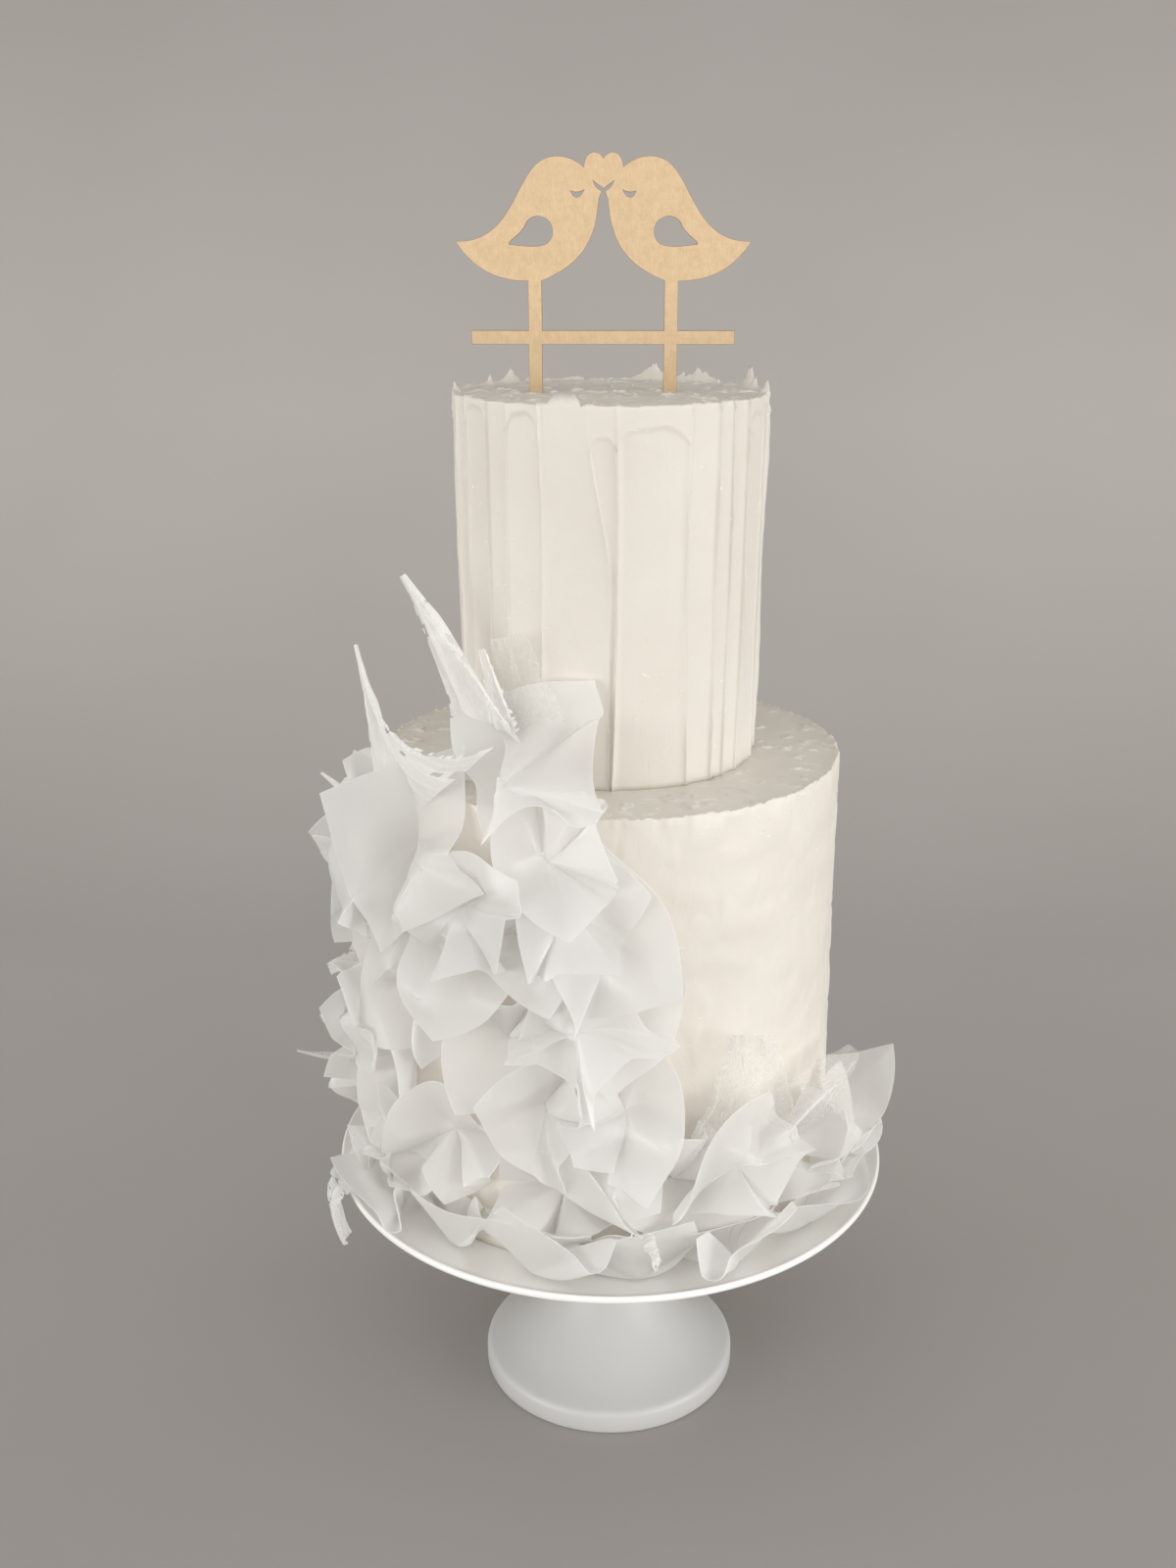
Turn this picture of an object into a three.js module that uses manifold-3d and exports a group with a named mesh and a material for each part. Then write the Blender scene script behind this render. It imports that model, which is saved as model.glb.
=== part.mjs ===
// Two-tier wedding cake on its stand. The lower tier is dressed with pinched squares of wafer paper
// and crinkled sails of rice paper, and a pair of laser-cut love birds stands on top.
// Millimetres, +Z up. The front faces -Y. The origin is the centre of the foot's underside.
import * as THREE from "three";
import { mergeVertices } from "three/addons/utils/BufferGeometryUtils.js";
import Module from "manifold-3d";

const wasm = await Module();
wasm.setup();

const TURN = 2 * Math.PI;
const DEGREE = Math.PI / 180;
const GAP = 0.3; // clearance between pieces that touch

// Stand
const FOOT_RADIUS = 71.5;
const FOOT_BAND = 13.9;
const NECK_RADIUS = 15.5;
const COLLAR_RADIUS = 19;
const COLLAR_BOTTOM = 128;
const PLATE_RADIUS = 150;
const PLATE_FLAT_RADIUS = 122; // the plate is flat out to here, then rises to its rim
const PLATE_TOP = 141.5;
const PLATE_RISE = 4.5;
const PLATE_LIP = 3.9;

// Tiers
const BOTTOM_BASE_RADIUS = 117.7;
const BOTTOM_TOP_RADIUS = 116.7;
const LEDGE = 375.5; // top of the bottom tier
const TOP_BASE_RADIUS = 73.9;
const TOP_RIM_RADIUS = 76.2;
const TOP_SHIFT = -1.5; // the top tier sits a little left of the axis
const CAKE_TOP = 554;
const BOTTOM_COLUMNS = 64; // round the bottom tier's wall

// Knife strokes on the top tier: the azimuths of the ridges between them, 0 at the front and positive to
// the right
const FRONT_RIDGES = [-90, -72, -62, -48, -38, -25, -8, 2, 29, 41, 46, 57, 73];
const BACK_STROKES = 13;
const CURVED_RIDGE = 6; // this ridge swings to the right below the rim
const CURVED_RIDGE_SWING = 8;
const STROKE_COLUMNS = [0, 0.16, 0.62]; // places across a stroke, from its ridge to the next one
const RIDGE_HEIGHT = 1.3;
const STROKE_HOLLOW = 0.7;

// Crests of icing that the knife left standing on the top rim: azimuth, height and half width
const RIM_CRESTS = [
  [-17, 3.5, 7],
  [114, 8, 6],
  [152, 3.5, 5],
  [165, 6.5, 5],
  [-128, 2.5, 5],
  [-138, 3.5, 4],
  [-88, 2.5, 4],
  [92, 3, 4],
];

// Topper, a 3 mm board
const TOPPER_X = -5.2;
const TOPPER_THICKNESS = 3;
const STAKE_SPACING = 64.6;
const STAKE_WIDTH = 6;
const STAKE_BOTTOM = 508;
const PERCH_BOTTOM = 576.8;
const PERCH_HEIGHT = 6;
const PERCH_WIDTH = 125.2;
const BELLY = 605.8; // where a stake meets the bird

// Wafer paper
const PAPER_SIDE = 76;
const PAPER_THICKNESS = 0.8;
const PAPER_SPACE = 0.7; // kept free round a paper already placed
const SHORT_OF = 1.6; // how far short of another paper one stops
const LEAST_SHARE = 0.4; // of a cut paper's largest part that the part with its pinch has at least
const LEAST_REACH = 8; // though never nearer to its own pinch than this
const PAPER_POINTS = 16; // round the edge of a square
const CONE_STEPS = 720;
const FOLDS = 3; // folds round the pinch
const LOBE_SKEW = 0.45; // how much wider one lobe is than the others
const CONE_LIFT = 0.8; // how far the folded square rises off its plane, as a share of a full cone's rise
const FOLD_SWING = 0.72;
const MEAN_WAVE = 1.27; // mean height of the wave whose crests are rounded and whose hollows are sharp
const BOTTOM_CLEAR = 1; // how far paper stays off the bottom tier's plain wall
const TOP_CLEAR = 2.6; // and off the top tier's, which has ridges
const SLIVER = 0.1; // detail finer than this on a cut edge is smoothed away

/** Even draws between 0 and 1 from a seed. */
function draws(seed) {
  let state = seed;
  return () => {
    state = (state * 16807) % 2147483647;
    return state / 2147483647;
  };
}

/** A point at an azimuth in radians, 0 at the front and positive to the right. */
function polar(azimuth, radius, z, shift = 0) {
  return [shift + radius * Math.sin(azimuth), -radius * Math.cos(azimuth), z];
}

function mix(a, b, share) {
  return a + (b - a) * share;
}

/** Turns a closed geometry into a solid, with shared vertices merged and collapsed triangles dropped. */
function toSolid(geometry) {
  const bare = geometry.clone();
  bare.deleteAttribute("normal");
  bare.deleteAttribute("uv");
  const merged = mergeVertices(bare, 1e-4);
  const triangles = [];
  for (let i = 0; i < merged.index.count; i += 3) {
    const [a, b, c] = [0, 1, 2].map((k) => merged.index.getX(i + k));
    if (a !== b && b !== c && c !== a) triangles.push(a, b, c);
  }
  return meshSolid(merged.attributes.position.array, triangles);
}

function meshSolid(positions, triangles) {
  return new wasm.Manifold(
    new wasm.Mesh({
      numProp: 3,
      vertProperties: Float32Array.from(positions),
      triVerts: Uint32Array.from(triangles),
    }),
  );
}

function finish(color, roughness) {
  return new THREE.MeshStandardMaterial({ color, roughness, metalness: 0 });
}

/** A named mesh of one solid. */
function piece(name, solid, material) {
  const mesh = solid.getMesh();
  const positions = Float32Array.from(mesh.vertProperties);
  const geometry = new THREE.BufferGeometry();
  geometry.setAttribute("position", new THREE.BufferAttribute(positions, 3));
  geometry.setIndex(Array.from(mesh.triVerts));
  geometry.computeVertexNormals();
  const made = new THREE.Mesh(geometry, material);
  made.name = name;
  return made;
}

/** A shape turned about the Z axis from a profile of radius and height, which starts and ends on the axis. */
function lathe(profile, segments) {
  const points = profile.map(([radius, z]) => new THREE.Vector2(radius, z));
  return new THREE.LatheGeometry(points, segments).rotateX(Math.PI / 2);
}

/** A lathe whose every point is then placed by its column and its row in the profile. */
function shapedLathe(profile, segments, place) {
  const geometry = lathe(profile, segments);
  const position = geometry.attributes.position;
  for (let column = 0; column <= segments; column++) {
    profile.forEach(([radius, z], row) => {
      const index = column * profile.length + row;
      if (radius > 0) position.setXYZ(index, ...place(column % segments, radius, z, row));
    });
  }
  return geometry;
}

// Stand

/** Height of the plate at a radius, level past its rim. */
function plateTop(radius) {
  const past = Math.max(0, Math.min(radius, PLATE_RADIUS) - PLATE_FLAT_RADIUS);
  return PLATE_TOP + PLATE_RISE * (past / (PLATE_RADIUS - PLATE_FLAT_RADIUS)) ** 2;
}

function plate() {
  const rim = plateTop(PLATE_RADIUS);
  const lip = PLATE_LIP / 2;
  return toSolid(
    lathe(
      [
        [0, COLLAR_BOTTOM],
        [COLLAR_RADIUS, COLLAR_BOTTOM],
        [COLLAR_RADIUS + 3, PLATE_TOP - 9],
        [100, PLATE_TOP - 6.5],
        [138, PLATE_TOP - 3],
        [PLATE_RADIUS - 1, rim - PLATE_LIP],
        [PLATE_RADIUS, rim - lip],
        [PLATE_RADIUS - 1, rim],
        [140, plateTop(140)],
        [PLATE_FLAT_RADIUS, PLATE_TOP],
        [0, PLATE_TOP],
      ],
      56,
    ),
  );
}

/** A broad flat foot with a rounded band, sweeping up in one hollow curve to the neck. */
function foot() {
  const profile = [
    [0, 0],
    [FOOT_RADIUS - 1.5, 0],
    [FOOT_RADIUS, 2],
    [FOOT_RADIUS, FOOT_BAND - 4],
    [FOOT_RADIUS - 3, FOOT_BAND],
  ];
  const sweep = 6;
  for (let i = 1; i <= sweep; i++) {
    const share = i / sweep;
    const radius = NECK_RADIUS + (FOOT_RADIUS - 5 - NECK_RADIUS) * (1 - share) ** 2.2;
    profile.push([radius, mix(FOOT_BAND + 1, COLLAR_BOTTOM - 14, share ** 1.25)]);
  }
  profile.push([COLLAR_RADIUS - 1, COLLAR_BOTTOM - GAP], [0, COLLAR_BOTTOM - GAP]);
  return toSolid(lathe(profile, 44));
}

// Tiers

function bottomRadius(z) {
  return mix(BOTTOM_BASE_RADIUS, BOTTOM_TOP_RADIUS, (z - PLATE_TOP) / (LEDGE - PLATE_TOP));
}

function topRadius(z) {
  return mix(TOP_BASE_RADIUS, TOP_RIM_RADIUS, (z - LEDGE) / (CAKE_TOP - LEDGE));
}

/** Strokes round the top tier: each one's ridge, its drift over the height, how high and how proud it is. */
function strokes() {
  const draw = draws(20);
  const edges = FRONT_RIDGES.slice();
  const width = 180 / BACK_STROKES;
  for (let i = 0; i < BACK_STROKES; i++) edges.push(90 + width * (i + 0.5 * draw()));
  return edges.map((edge, i) => ({
    edge,
    drift: i === CURVED_RIDGE ? 0 : 2.4 * (draw() - 0.5),
    height: RIDGE_HEIGHT * mix(0.5, 1.4, draw()),
    level: 0.5 * (draw() - 0.5),
    rise: 1.6 * draw(),
    swing: i === CURVED_RIDGE ? CURVED_RIDGE_SWING : 0,
  }));
}

function ridgeAzimuth(stroke, z) {
  const depth = (CAKE_TOP - z) / (CAKE_TOP - LEDGE);
  const swung = stroke.swing * Math.min(1, depth * 2.6) ** 2;
  return stroke.edge + stroke.drift * Math.sin(4 * depth) + swung;
}

/** How far a stroke stands off the plain wall at a share of the way from its own ridge to the next. */
function strokeRelief(stroke, next, share, z) {
  const wave = 0.75 + 0.25 * Math.sin(z / 17 + stroke.edge);
  const near = stroke.height * Math.exp(-((share / 0.07) ** 2));
  const far = next.height * 0.6 * Math.exp(-(((1 - share) / 0.05) ** 2));
  return stroke.level + (near + far) * wave - STROKE_HOLLOW * Math.sin(Math.PI * share);
}

/** Height of the ragged rim above the cake's top. */
function crest(azimuth) {
  const turned = azimuth / DEGREE;
  const slow = Math.sin(azimuth * 9) * Math.sin(azimuth * 23 + 1);
  let height = 0.9 + 0.6 * slow + 0.4 * Math.sin(azimuth * 41);
  for (const [place, peak, half] of RIM_CRESTS) {
    const away = Math.abs(((turned - place + 540) % 360) - 180) / half;
    if (away < 1) height += peak * (1 - away);
  }
  return Math.max(0.2, height);
}

function topTier() {
  const all = strokes();
  const base = LEDGE + GAP;
  const wallRows = 6;
  const profile = [[0, base]];
  for (let i = 0; i <= wallRows; i++) {
    const z = mix(base, CAKE_TOP, i / wallRows);
    profile.push([topRadius(z), z]);
  }
  const rimRow = profile.length;
  profile.push([TOP_RIM_RADIUS - 0.6, CAKE_TOP + 0.1]);
  profile.push([TOP_RIM_RADIUS - 3.2, CAKE_TOP], [50, CAKE_TOP], [0, CAKE_TOP]);
  const across = STROKE_COLUMNS.length;
  const geometry = shapedLathe(profile, all.length * across, (column, radius, z, row) => {
    const index = Math.floor(column / across);
    const stroke = all[index];
    const next = all[(index + 1) % all.length];
    const share = STROKE_COLUMNS[column % across];
    const start = ridgeAzimuth(stroke, z);
    const span = (ridgeAzimuth(next, z) - start + 360) % 360;
    const azimuth = (start + span * share) * DEGREE;
    if (row < rimRow) return polar(azimuth, radius + strokeRelief(stroke, next, share, z), z, TOP_SHIFT);
    const torn = crest(azimuth) + stroke.rise * (1 - share);
    const smoothed = 0.25 * Math.sin(3 * azimuth + radius / 9);
    return polar(azimuth, radius, CAKE_TOP + (row === rimRow ? torn : smoothed), TOP_SHIFT);
  });
  let solid = toSolid(geometry);
  for (const side of [-1, 1]) solid = solid.subtract(stakeSlot(side));
  return solid;
}

/** The hole that a stake pushed into the cake, with its clearance. */
function stakeSlot(side) {
  const height = 80;
  const box = new THREE.BoxGeometry(STAKE_WIDTH + 2 * GAP, TOPPER_THICKNESS + 2 * GAP, height);
  return toSolid(box.translate(TOPPER_X + (side * STAKE_SPACING) / 2, 0, STAKE_BOTTOM - GAP + height / 2));
}

/** Slow swells of smoothed icing on the bottom tier. */
function swell(azimuth, z) {
  return 0.22 * Math.sin(azimuth * 5 + z / 31) + 0.13 * Math.sin(azimuth * 11 - z / 13);
}

/** The thin ragged lip where the icing was pulled over the bottom tier's edge. */
function lip(azimuth) {
  const wave = Math.sin(azimuth * 13) * Math.sin(azimuth * 7 + 2);
  return 0.7 + 0.5 * wave + 0.5 * Math.max(0, Math.sin(azimuth - 0.3));
}

function bottomTier() {
  const base = PLATE_TOP + GAP;
  const wallRows = 5;
  const profile = [[0, base]];
  for (let i = 0; i <= wallRows; i++) {
    const z = mix(base, LEDGE - 0.8, i / wallRows);
    profile.push([bottomRadius(z), z]);
  }
  const lipRow = profile.length;
  profile.push([BOTTOM_TOP_RADIUS - 0.8, LEDGE + 0.1], [BOTTOM_TOP_RADIUS - 3.5, LEDGE], [0, LEDGE]);
  return toSolid(
    shapedLathe(profile, BOTTOM_COLUMNS, (column, radius, z, row) => {
      const azimuth = (TURN * column) / BOTTOM_COLUMNS;
      if (row < lipRow) return polar(azimuth, radius + swell(azimuth, z), z);
      return polar(azimuth, radius, row === lipRow ? LEDGE + lip(azimuth) : LEDGE);
    }),
  );
}

// Topper

/** The right bird, clockwise from the notch of the heart to its stake: heart, head, back and tail, belly. */
function birdOutline() {
  const bird = new THREE.Path();
  bird.moveTo(0, 659.4);
  bird.bezierCurveTo(2, 663.4, 8.6, 664.2, 9, 655.6);
  bird.bezierCurveTo(14, 660.6, 25, 663.4, 32, 656.4);
  bird.bezierCurveTo(42, 646, 45, 622.6, 69.2, 623.2);
  bird.bezierCurveTo(62, 612.4, 52, 605.6, STAKE_SPACING / 2 + STAKE_WIDTH / 2, BELLY);
  return bird.getPoints(9).map((p) => [p.x, p.y]);
}

function topperShape() {
  const inner = STAKE_SPACING / 2 - STAKE_WIDTH / 2;
  const outer = STAKE_SPACING / 2 + STAKE_WIDTH / 2;
  const perchTop = PERCH_BOTTOM + PERCH_HEIGHT;
  const half = birdOutline();
  half.push([outer, perchTop], [PERCH_WIDTH / 2, perchTop], [PERCH_WIDTH / 2, PERCH_BOTTOM]);
  half.push([outer, PERCH_BOTTOM], [outer, STAKE_BOTTOM], [inner, STAKE_BOTTOM], [inner, PERCH_BOTTOM]);
  return new THREE.Shape(mirrored(half));
}

/** Both halves of an outline whose right half starts on the middle line, anticlockwise. */
function mirrored(half) {
  const left = half.filter(([u]) => u > 0).reverse().map(([u, z]) => [-u, z]);
  return [...half, ...left].reverse().map(([u, z]) => new THREE.Vector2(TOPPER_X + u, z));
}

/** The space between the stakes above the perch, up between the two breasts to the slits beside the beaks. */
function breastGap() {
  const inner = STAKE_SPACING / 2 - STAKE_WIDTH / 2;
  const rise = new THREE.Path();
  rise.moveTo(inner, PERCH_BOTTOM + PERCH_HEIGHT);
  rise.lineTo(inner, BELLY);
  rise.bezierCurveTo(14, 612, 3.6, 620, 2.4, 642);
  rise.lineTo(0.9, 645.4);
  rise.bezierCurveTo(3, 646.6, 4.6, 647.6, 5.2, 650.6);
  rise.lineTo(0, 646.9);
  return new THREE.Shape(mirrored(rise.getPoints(9).map((p) => [p.x, p.y])));
}

function wing(side) {
  const x = (u) => TOPPER_X + side * u;
  const hole = new THREE.Shape();
  hole.moveTo(x(44.2), 621.8);
  hole.bezierCurveTo(x(46), 623.6, x(38.6), 626, x(36.6), 631.2);
  hole.bezierCurveTo(x(33.4), 637.4, x(23), 635, x(23.6), 627.2);
  hole.bezierCurveTo(x(24.6), 619.4, x(33), 620.6, x(44.2), 621.8);
  return hole;
}

function eye(side) {
  const x = (u) => TOPPER_X + side * u;
  const hole = new THREE.Shape();
  hole.moveTo(x(8.6), 646.6);
  hole.quadraticCurveTo(x(12), 644.4, x(15.6), 646);
  hole.quadraticCurveTo(x(12.4), 640.8, x(8.6), 646.6);
  return hole;
}

/** A flat shape in the topper's plane, made as thick as asked. */
function board(shape, thickness) {
  const options = { depth: thickness, bevelEnabled: false, curveSegments: 7 };
  const geometry = new THREE.ExtrudeGeometry(shape, options);
  return toSolid(geometry.rotateX(Math.PI / 2).translate(0, thickness / 2, 0));
}

function topper() {
  let solid = board(topperShape(), TOPPER_THICKNESS);
  const cuts = [breastGap(), wing(-1), wing(1), eye(-1), eye(1)];
  for (const cut of cuts) solid = solid.subtract(board(cut, 2 * TOPPER_THICKNESS));
  return solid;
}

// Wafer paper

// Each square is pinched at its middle and pushed into the icing. A row holds the place of the pinch, as
// azimuth and height, the lean of the square up and to the right, the turn of the square in its own plane,
// the direction of its widest lobe, and how deep its folds are. Angles are in degrees.
const SQUARES = [
  [-29, 380, 30, 0, -8, 90, 0.4],
  [-47, 370, 20, -25, 18, 195, 0.34],
  [-57, 331, 5, -20, 3, 180, 0.34],
  [-28, 328, 5, 0, 10, 110, 0.38],
  [-17, 371, 10, 0, 40, 230, 0.38],
  [-11, 348, 5, 10, -32, 45, 0.38],
  [0, 333, 0, 10, 40, 20, 0.38],
  [-17, 326, 0, 0, 20, 330, 0.38],
  [-24, 305, 0, 0, 45, 270, 0.36],
  [-1, 282, 0, 5, 20, 60, 0.36],
  [8, 287, 0, 15, -37, -20, 0.34],
  [6, 241, 0, 15, -10, 0, 0.36],
  [-4, 238, 0, 0, -45, 180, 0.38],
  [-25, 261, 0, 0, 30, 250, 0.38],
  [-33, 210, 0, -10, 15, 90, 0.36],
  [-82, 223, 0, -15, 0, 180, 0.34],
  [-70, 238, -10, -10, 20, 280, 0.36],
  [-52, 280, 0, -10, 0, 200, 0.36],
  [-84, 303, 0, -10, 30, 150, 0.4],
  [-66, 299, 0, -10, 15, 270, 0.36],
  [-92, 190, 0, -10, 30, 200, 0.36],
  [-78, 170, 5, -15, 30, 100, 0.36],
  [-56, 167, -5, -10, 20, 230, 0.36],
  [-43, 186, 0, 0, 0, 330, 0.36],
  [-33, 158, 0, 0, 10, 270, 0.36],
  [-15, 160, 0, 0, 35, 250, 0.36],
  [4, 160, 0, 0, 10, 300, 0.36],
  [29, 157, 0, 5, 25, 0, 0.36],
  [55, 160, 0, 10, 20, 300, 0.38],
  [76, 156, 5, 10, 10, 300, 0.36],
  [66, 184, 10, 10, 0, 0, 0.34],
  [84, 172, 10, 10, 20, 0, 0.34],
  [28, 204, 0, 10, 20, 90, 0.38],
  [-8, 198, 0, 0, 45, 60, 0.38],
  [0, 220, 0, 0, 0, 280, 0.38],
  [15, 200, 0, 5, 0, 270, 0.36],
  [46, 180, 0, 5, 30, 120, 0.36],
  [-54, 234, 0, -5, 25, 20, 0.36],
  [-74, 352, 10, -10, 40, 200, 0.36],
  [-100, 356, 15, -10, 10, 100, 0.36],
  [-106, 300, 0, 0, 40, 200, 0.36],
  [-108, 235, 0, 0, 10, 300, 0.36],
];

/** The pinch and the three directions of a square: off the cake, to the right and up, after its lean. */
function squareFrame([turned, z, up, side]) {
  const azimuth = turned * DEGREE;
  const onLedge = z > LEDGE;
  const radius = onLedge ? topRadius(z) + TOP_CLEAR : bottomRadius(z) + BOTTOM_CLEAR;
  const out = new THREE.Vector3(...polar(azimuth, 1, 0));
  const right = new THREE.Vector3(Math.cos(azimuth), Math.sin(azimuth), 0);
  const upward = new THREE.Vector3(0, 0, 1);
  const raised = out.clone().multiplyScalar(Math.cos(up * DEGREE));
  raised.addScaledVector(upward, Math.sin(up * DEGREE));
  upward.multiplyScalar(Math.cos(up * DEGREE)).addScaledVector(out, -Math.sin(up * DEGREE));
  const normal = raised.clone().multiplyScalar(Math.cos(side * DEGREE));
  normal.addScaledVector(right, Math.sin(side * DEGREE));
  right.multiplyScalar(Math.cos(side * DEGREE)).addScaledVector(raised, -Math.sin(side * DEGREE));
  const pinch = new THREE.Vector3(...polar(azimuth, radius, z, onLedge ? TOP_SHIFT : 0));
  return { pinch, normal, right, upward };
}

/**
 * The folds round a pinched square: at each step of the paper's own angle, its rise off the square's plane
 * and its bearing in that plane. The paper only bends, so a step covers as much angle in space as on it.
 */
function folds(turn, widest, depth) {
  const lift = CONE_LIFT * Math.acos(Math.max(0.3, 1 - (depth * FOLDS) ** 2 / 4));
  const rise = [];
  for (let i = 0; i <= CONE_STEPS; i++) {
    const angle = (TURN * i) / CONE_STEPS - (widest - turn) * DEGREE;
    const skewed = angle - LOBE_SKEW * Math.sin(angle);
    const wave = 2 * Math.abs(Math.cos((FOLDS * skewed) / 2)) - MEAN_WAVE;
    rise.push(lift + FOLD_SWING * depth * wave);
  }
  const step = TURN / CONE_STEPS;
  const bearing = [0];
  for (let i = 0; i < CONE_STEPS; i++) {
    const slope = (rise[i + 1] - rise[i]) / step;
    const level = Math.cos((rise[i + 1] + rise[i]) / 2);
    bearing.push(bearing[i] + (Math.sqrt(Math.max(0.02, 1 - slope * slope)) / level) * step);
  }
  const scale = TURN / bearing[CONE_STEPS];
  return { rise, bearing: bearing.map((b) => turn * DEGREE + b * scale) };
}

/** Keeps a point of a paper off the walls, the ledge and the plate, where it bends out and lies down. */
function settle([x, y, z]) {
  let radius = Math.hypot(x, y);
  const azimuth = Math.atan2(x, -y);
  const below = plateTop(radius) + PAPER_THICKNESS - z;
  if (below > 0 && radius < PLATE_RADIUS) {
    radius += 0.9 * below;
    z = plateTop(radius) + PAPER_THICKNESS + 0.12 * below;
  }
  if (z < LEDGE) {
    const inside = bottomRadius(z) + BOTTOM_CLEAR - radius;
    const fromLedge = LEDGE - z;
    if (inside > fromLedge && fromLedge < 25) z = LEDGE + BOTTOM_CLEAR;
    else radius = Math.max(radius, bottomRadius(z) + BOTTOM_CLEAR);
  }
  if (z >= LEDGE) {
    const [px, py] = polar(azimuth, radius, z);
    const fromTop = Math.hypot(px - TOP_SHIFT, py);
    const wall = topRadius(z) + TOP_CLEAR;
    if (fromTop < wall) radius *= wall / fromTop;
  }
  return polar(azimuth, radius, z);
}

/** Points round the edge of a pinched square, from the middle of its right side. */
function squareEdge(row) {
  const { pinch, normal, right, upward } = squareFrame(row);
  const { rise, bearing } = folds(row[4], row[5], row[6]);
  const points = [];
  for (let i = 0; i < PAPER_POINTS; i++) {
    const angle = (TURN * i) / PAPER_POINTS;
    const step = Math.round((CONE_STEPS * i) / PAPER_POINTS);
    const reach = PAPER_SIDE / 2 / Math.max(Math.abs(Math.cos(angle)), Math.abs(Math.sin(angle)));
    const flat = Math.cos(rise[step]) * reach;
    const point = pinch.clone();
    point.addScaledVector(right, flat * Math.cos(bearing[step]));
    point.addScaledVector(upward, flat * Math.sin(bearing[step]));
    point.addScaledVector(normal, Math.sin(rise[step]) * reach);
    points.push(new THREE.Vector3(...settle(point.toArray())));
  }
  return { pinch, normal, points };
}

/** Draws in each point of a square's edge to just short of the first placed paper that it would cross. */
function shorten(fan, others) {
  const hit = new THREE.Vector3();
  for (const point of fan.points) {
    const way = point.clone().sub(fan.pinch);
    const reach = way.length();
    const ray = new THREE.Ray(fan.pinch, way.divideScalar(reach));
    let free = reach;
    for (const { pinch, points } of others) {
      points.forEach((corner, i) => {
        const next = points[(i + 1) % points.length];
        if (ray.intersectTriangle(pinch, corner, next, false, hit)) {
          free = Math.min(free, hit.distanceTo(fan.pinch) - SHORT_OF);
        }
      });
    }
    point.copy(ray.at(Math.max(free, LEAST_REACH), hit));
  }
}

/** A thin solid on both sides of a fan of triangles from the pinch to the edge, thinner towards the pinch. */
function fanSolid({ pinch, normal, points }, thickness) {
  const count = points.length;
  const faces = points.map((point, i) => {
    const next = points[(i + 1) % count];
    return point.clone().sub(pinch).cross(next.clone().sub(pinch)).normalize();
  });
  const positions = [];
  for (const side of [1, -1]) {
    positions.push(...pinch.clone().addScaledVector(normal, side * 0.3 * thickness).toArray());
    points.forEach((point, i) => {
      const facing = faces[i].clone().add(faces[(i + count - 1) % count]).normalize();
      positions.push(...point.clone().addScaledVector(facing, (side * thickness) / 2).toArray());
    });
  }
  const under = count + 1;
  const triangles = [];
  for (let i = 0; i < count; i++) {
    const a = 1 + i;
    const b = 1 + ((i + 1) % count);
    triangles.push(0, a, b, under, under + b, under + a, a, under + a, under + b, a, under + b, b);
  }
  return meshSolid(positions, triangles);
}

// Rice paper

// A crinkled sail runs from its foot to its tip, each given as azimuth, height and radius. Its middle bows
// out and up by the two values of bow, its width goes from the foot's to the tip's, and crinkle is the depth
// of its creases.
const SAILS = [
  { foot: [-36, 380, 92], tip: [-58, 478, 116], bow: [-4, 0], width: [34, 3], crinkle: 4 },
  { foot: [-32, 380, 88], tip: [-39, 448, 97], bow: [-2, 0], width: [22, 3], crinkle: 3 },
  { foot: [-27, 382, 85], tip: [-24, 450, 86], bow: [0, 0], width: [30, 18], crinkle: 2 },
  { foot: [-56, 378, 112], tip: [-68, 442, 133], bow: [0, -4], width: [46, 3], crinkle: 4 },
  { foot: [-72, 350, 122], tip: [-75, 373, 146], bow: [0, 3], width: [26, 6], crinkle: 3 },
  { foot: [-84, 256, 122], tip: [-82, 258, 149], bow: [0, 3], width: [30, 16], crinkle: 4 },
  { foot: [-80, 205, 122], tip: [-80, 213, 171], bow: [0, -3], width: [20, 1.5], crinkle: 2 },
  { foot: [-82, 225, 122], tip: [-79, 232, 157], bow: [0, 3], width: [24, 8], crinkle: 3 },
  { foot: [-66, 149, 136], tip: [-65, 108, 154], bow: [16, 22], width: [16, 9], crinkle: 2 },
  { foot: [28, 212, 122], tip: [30, 276, 126], bow: [8, 0], width: [44, 26], crinkle: 6 },
  { foot: [43, 238, 122], tip: [65, 222, 140], bow: [2, 4], width: [14, 5], crinkle: 3 },
  { foot: [3, 166, 124], tip: [9, 178, 140], bow: [4, 2], width: [26, 14], crinkle: 4 },
];
const SAIL_ROWS = 8;

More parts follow.
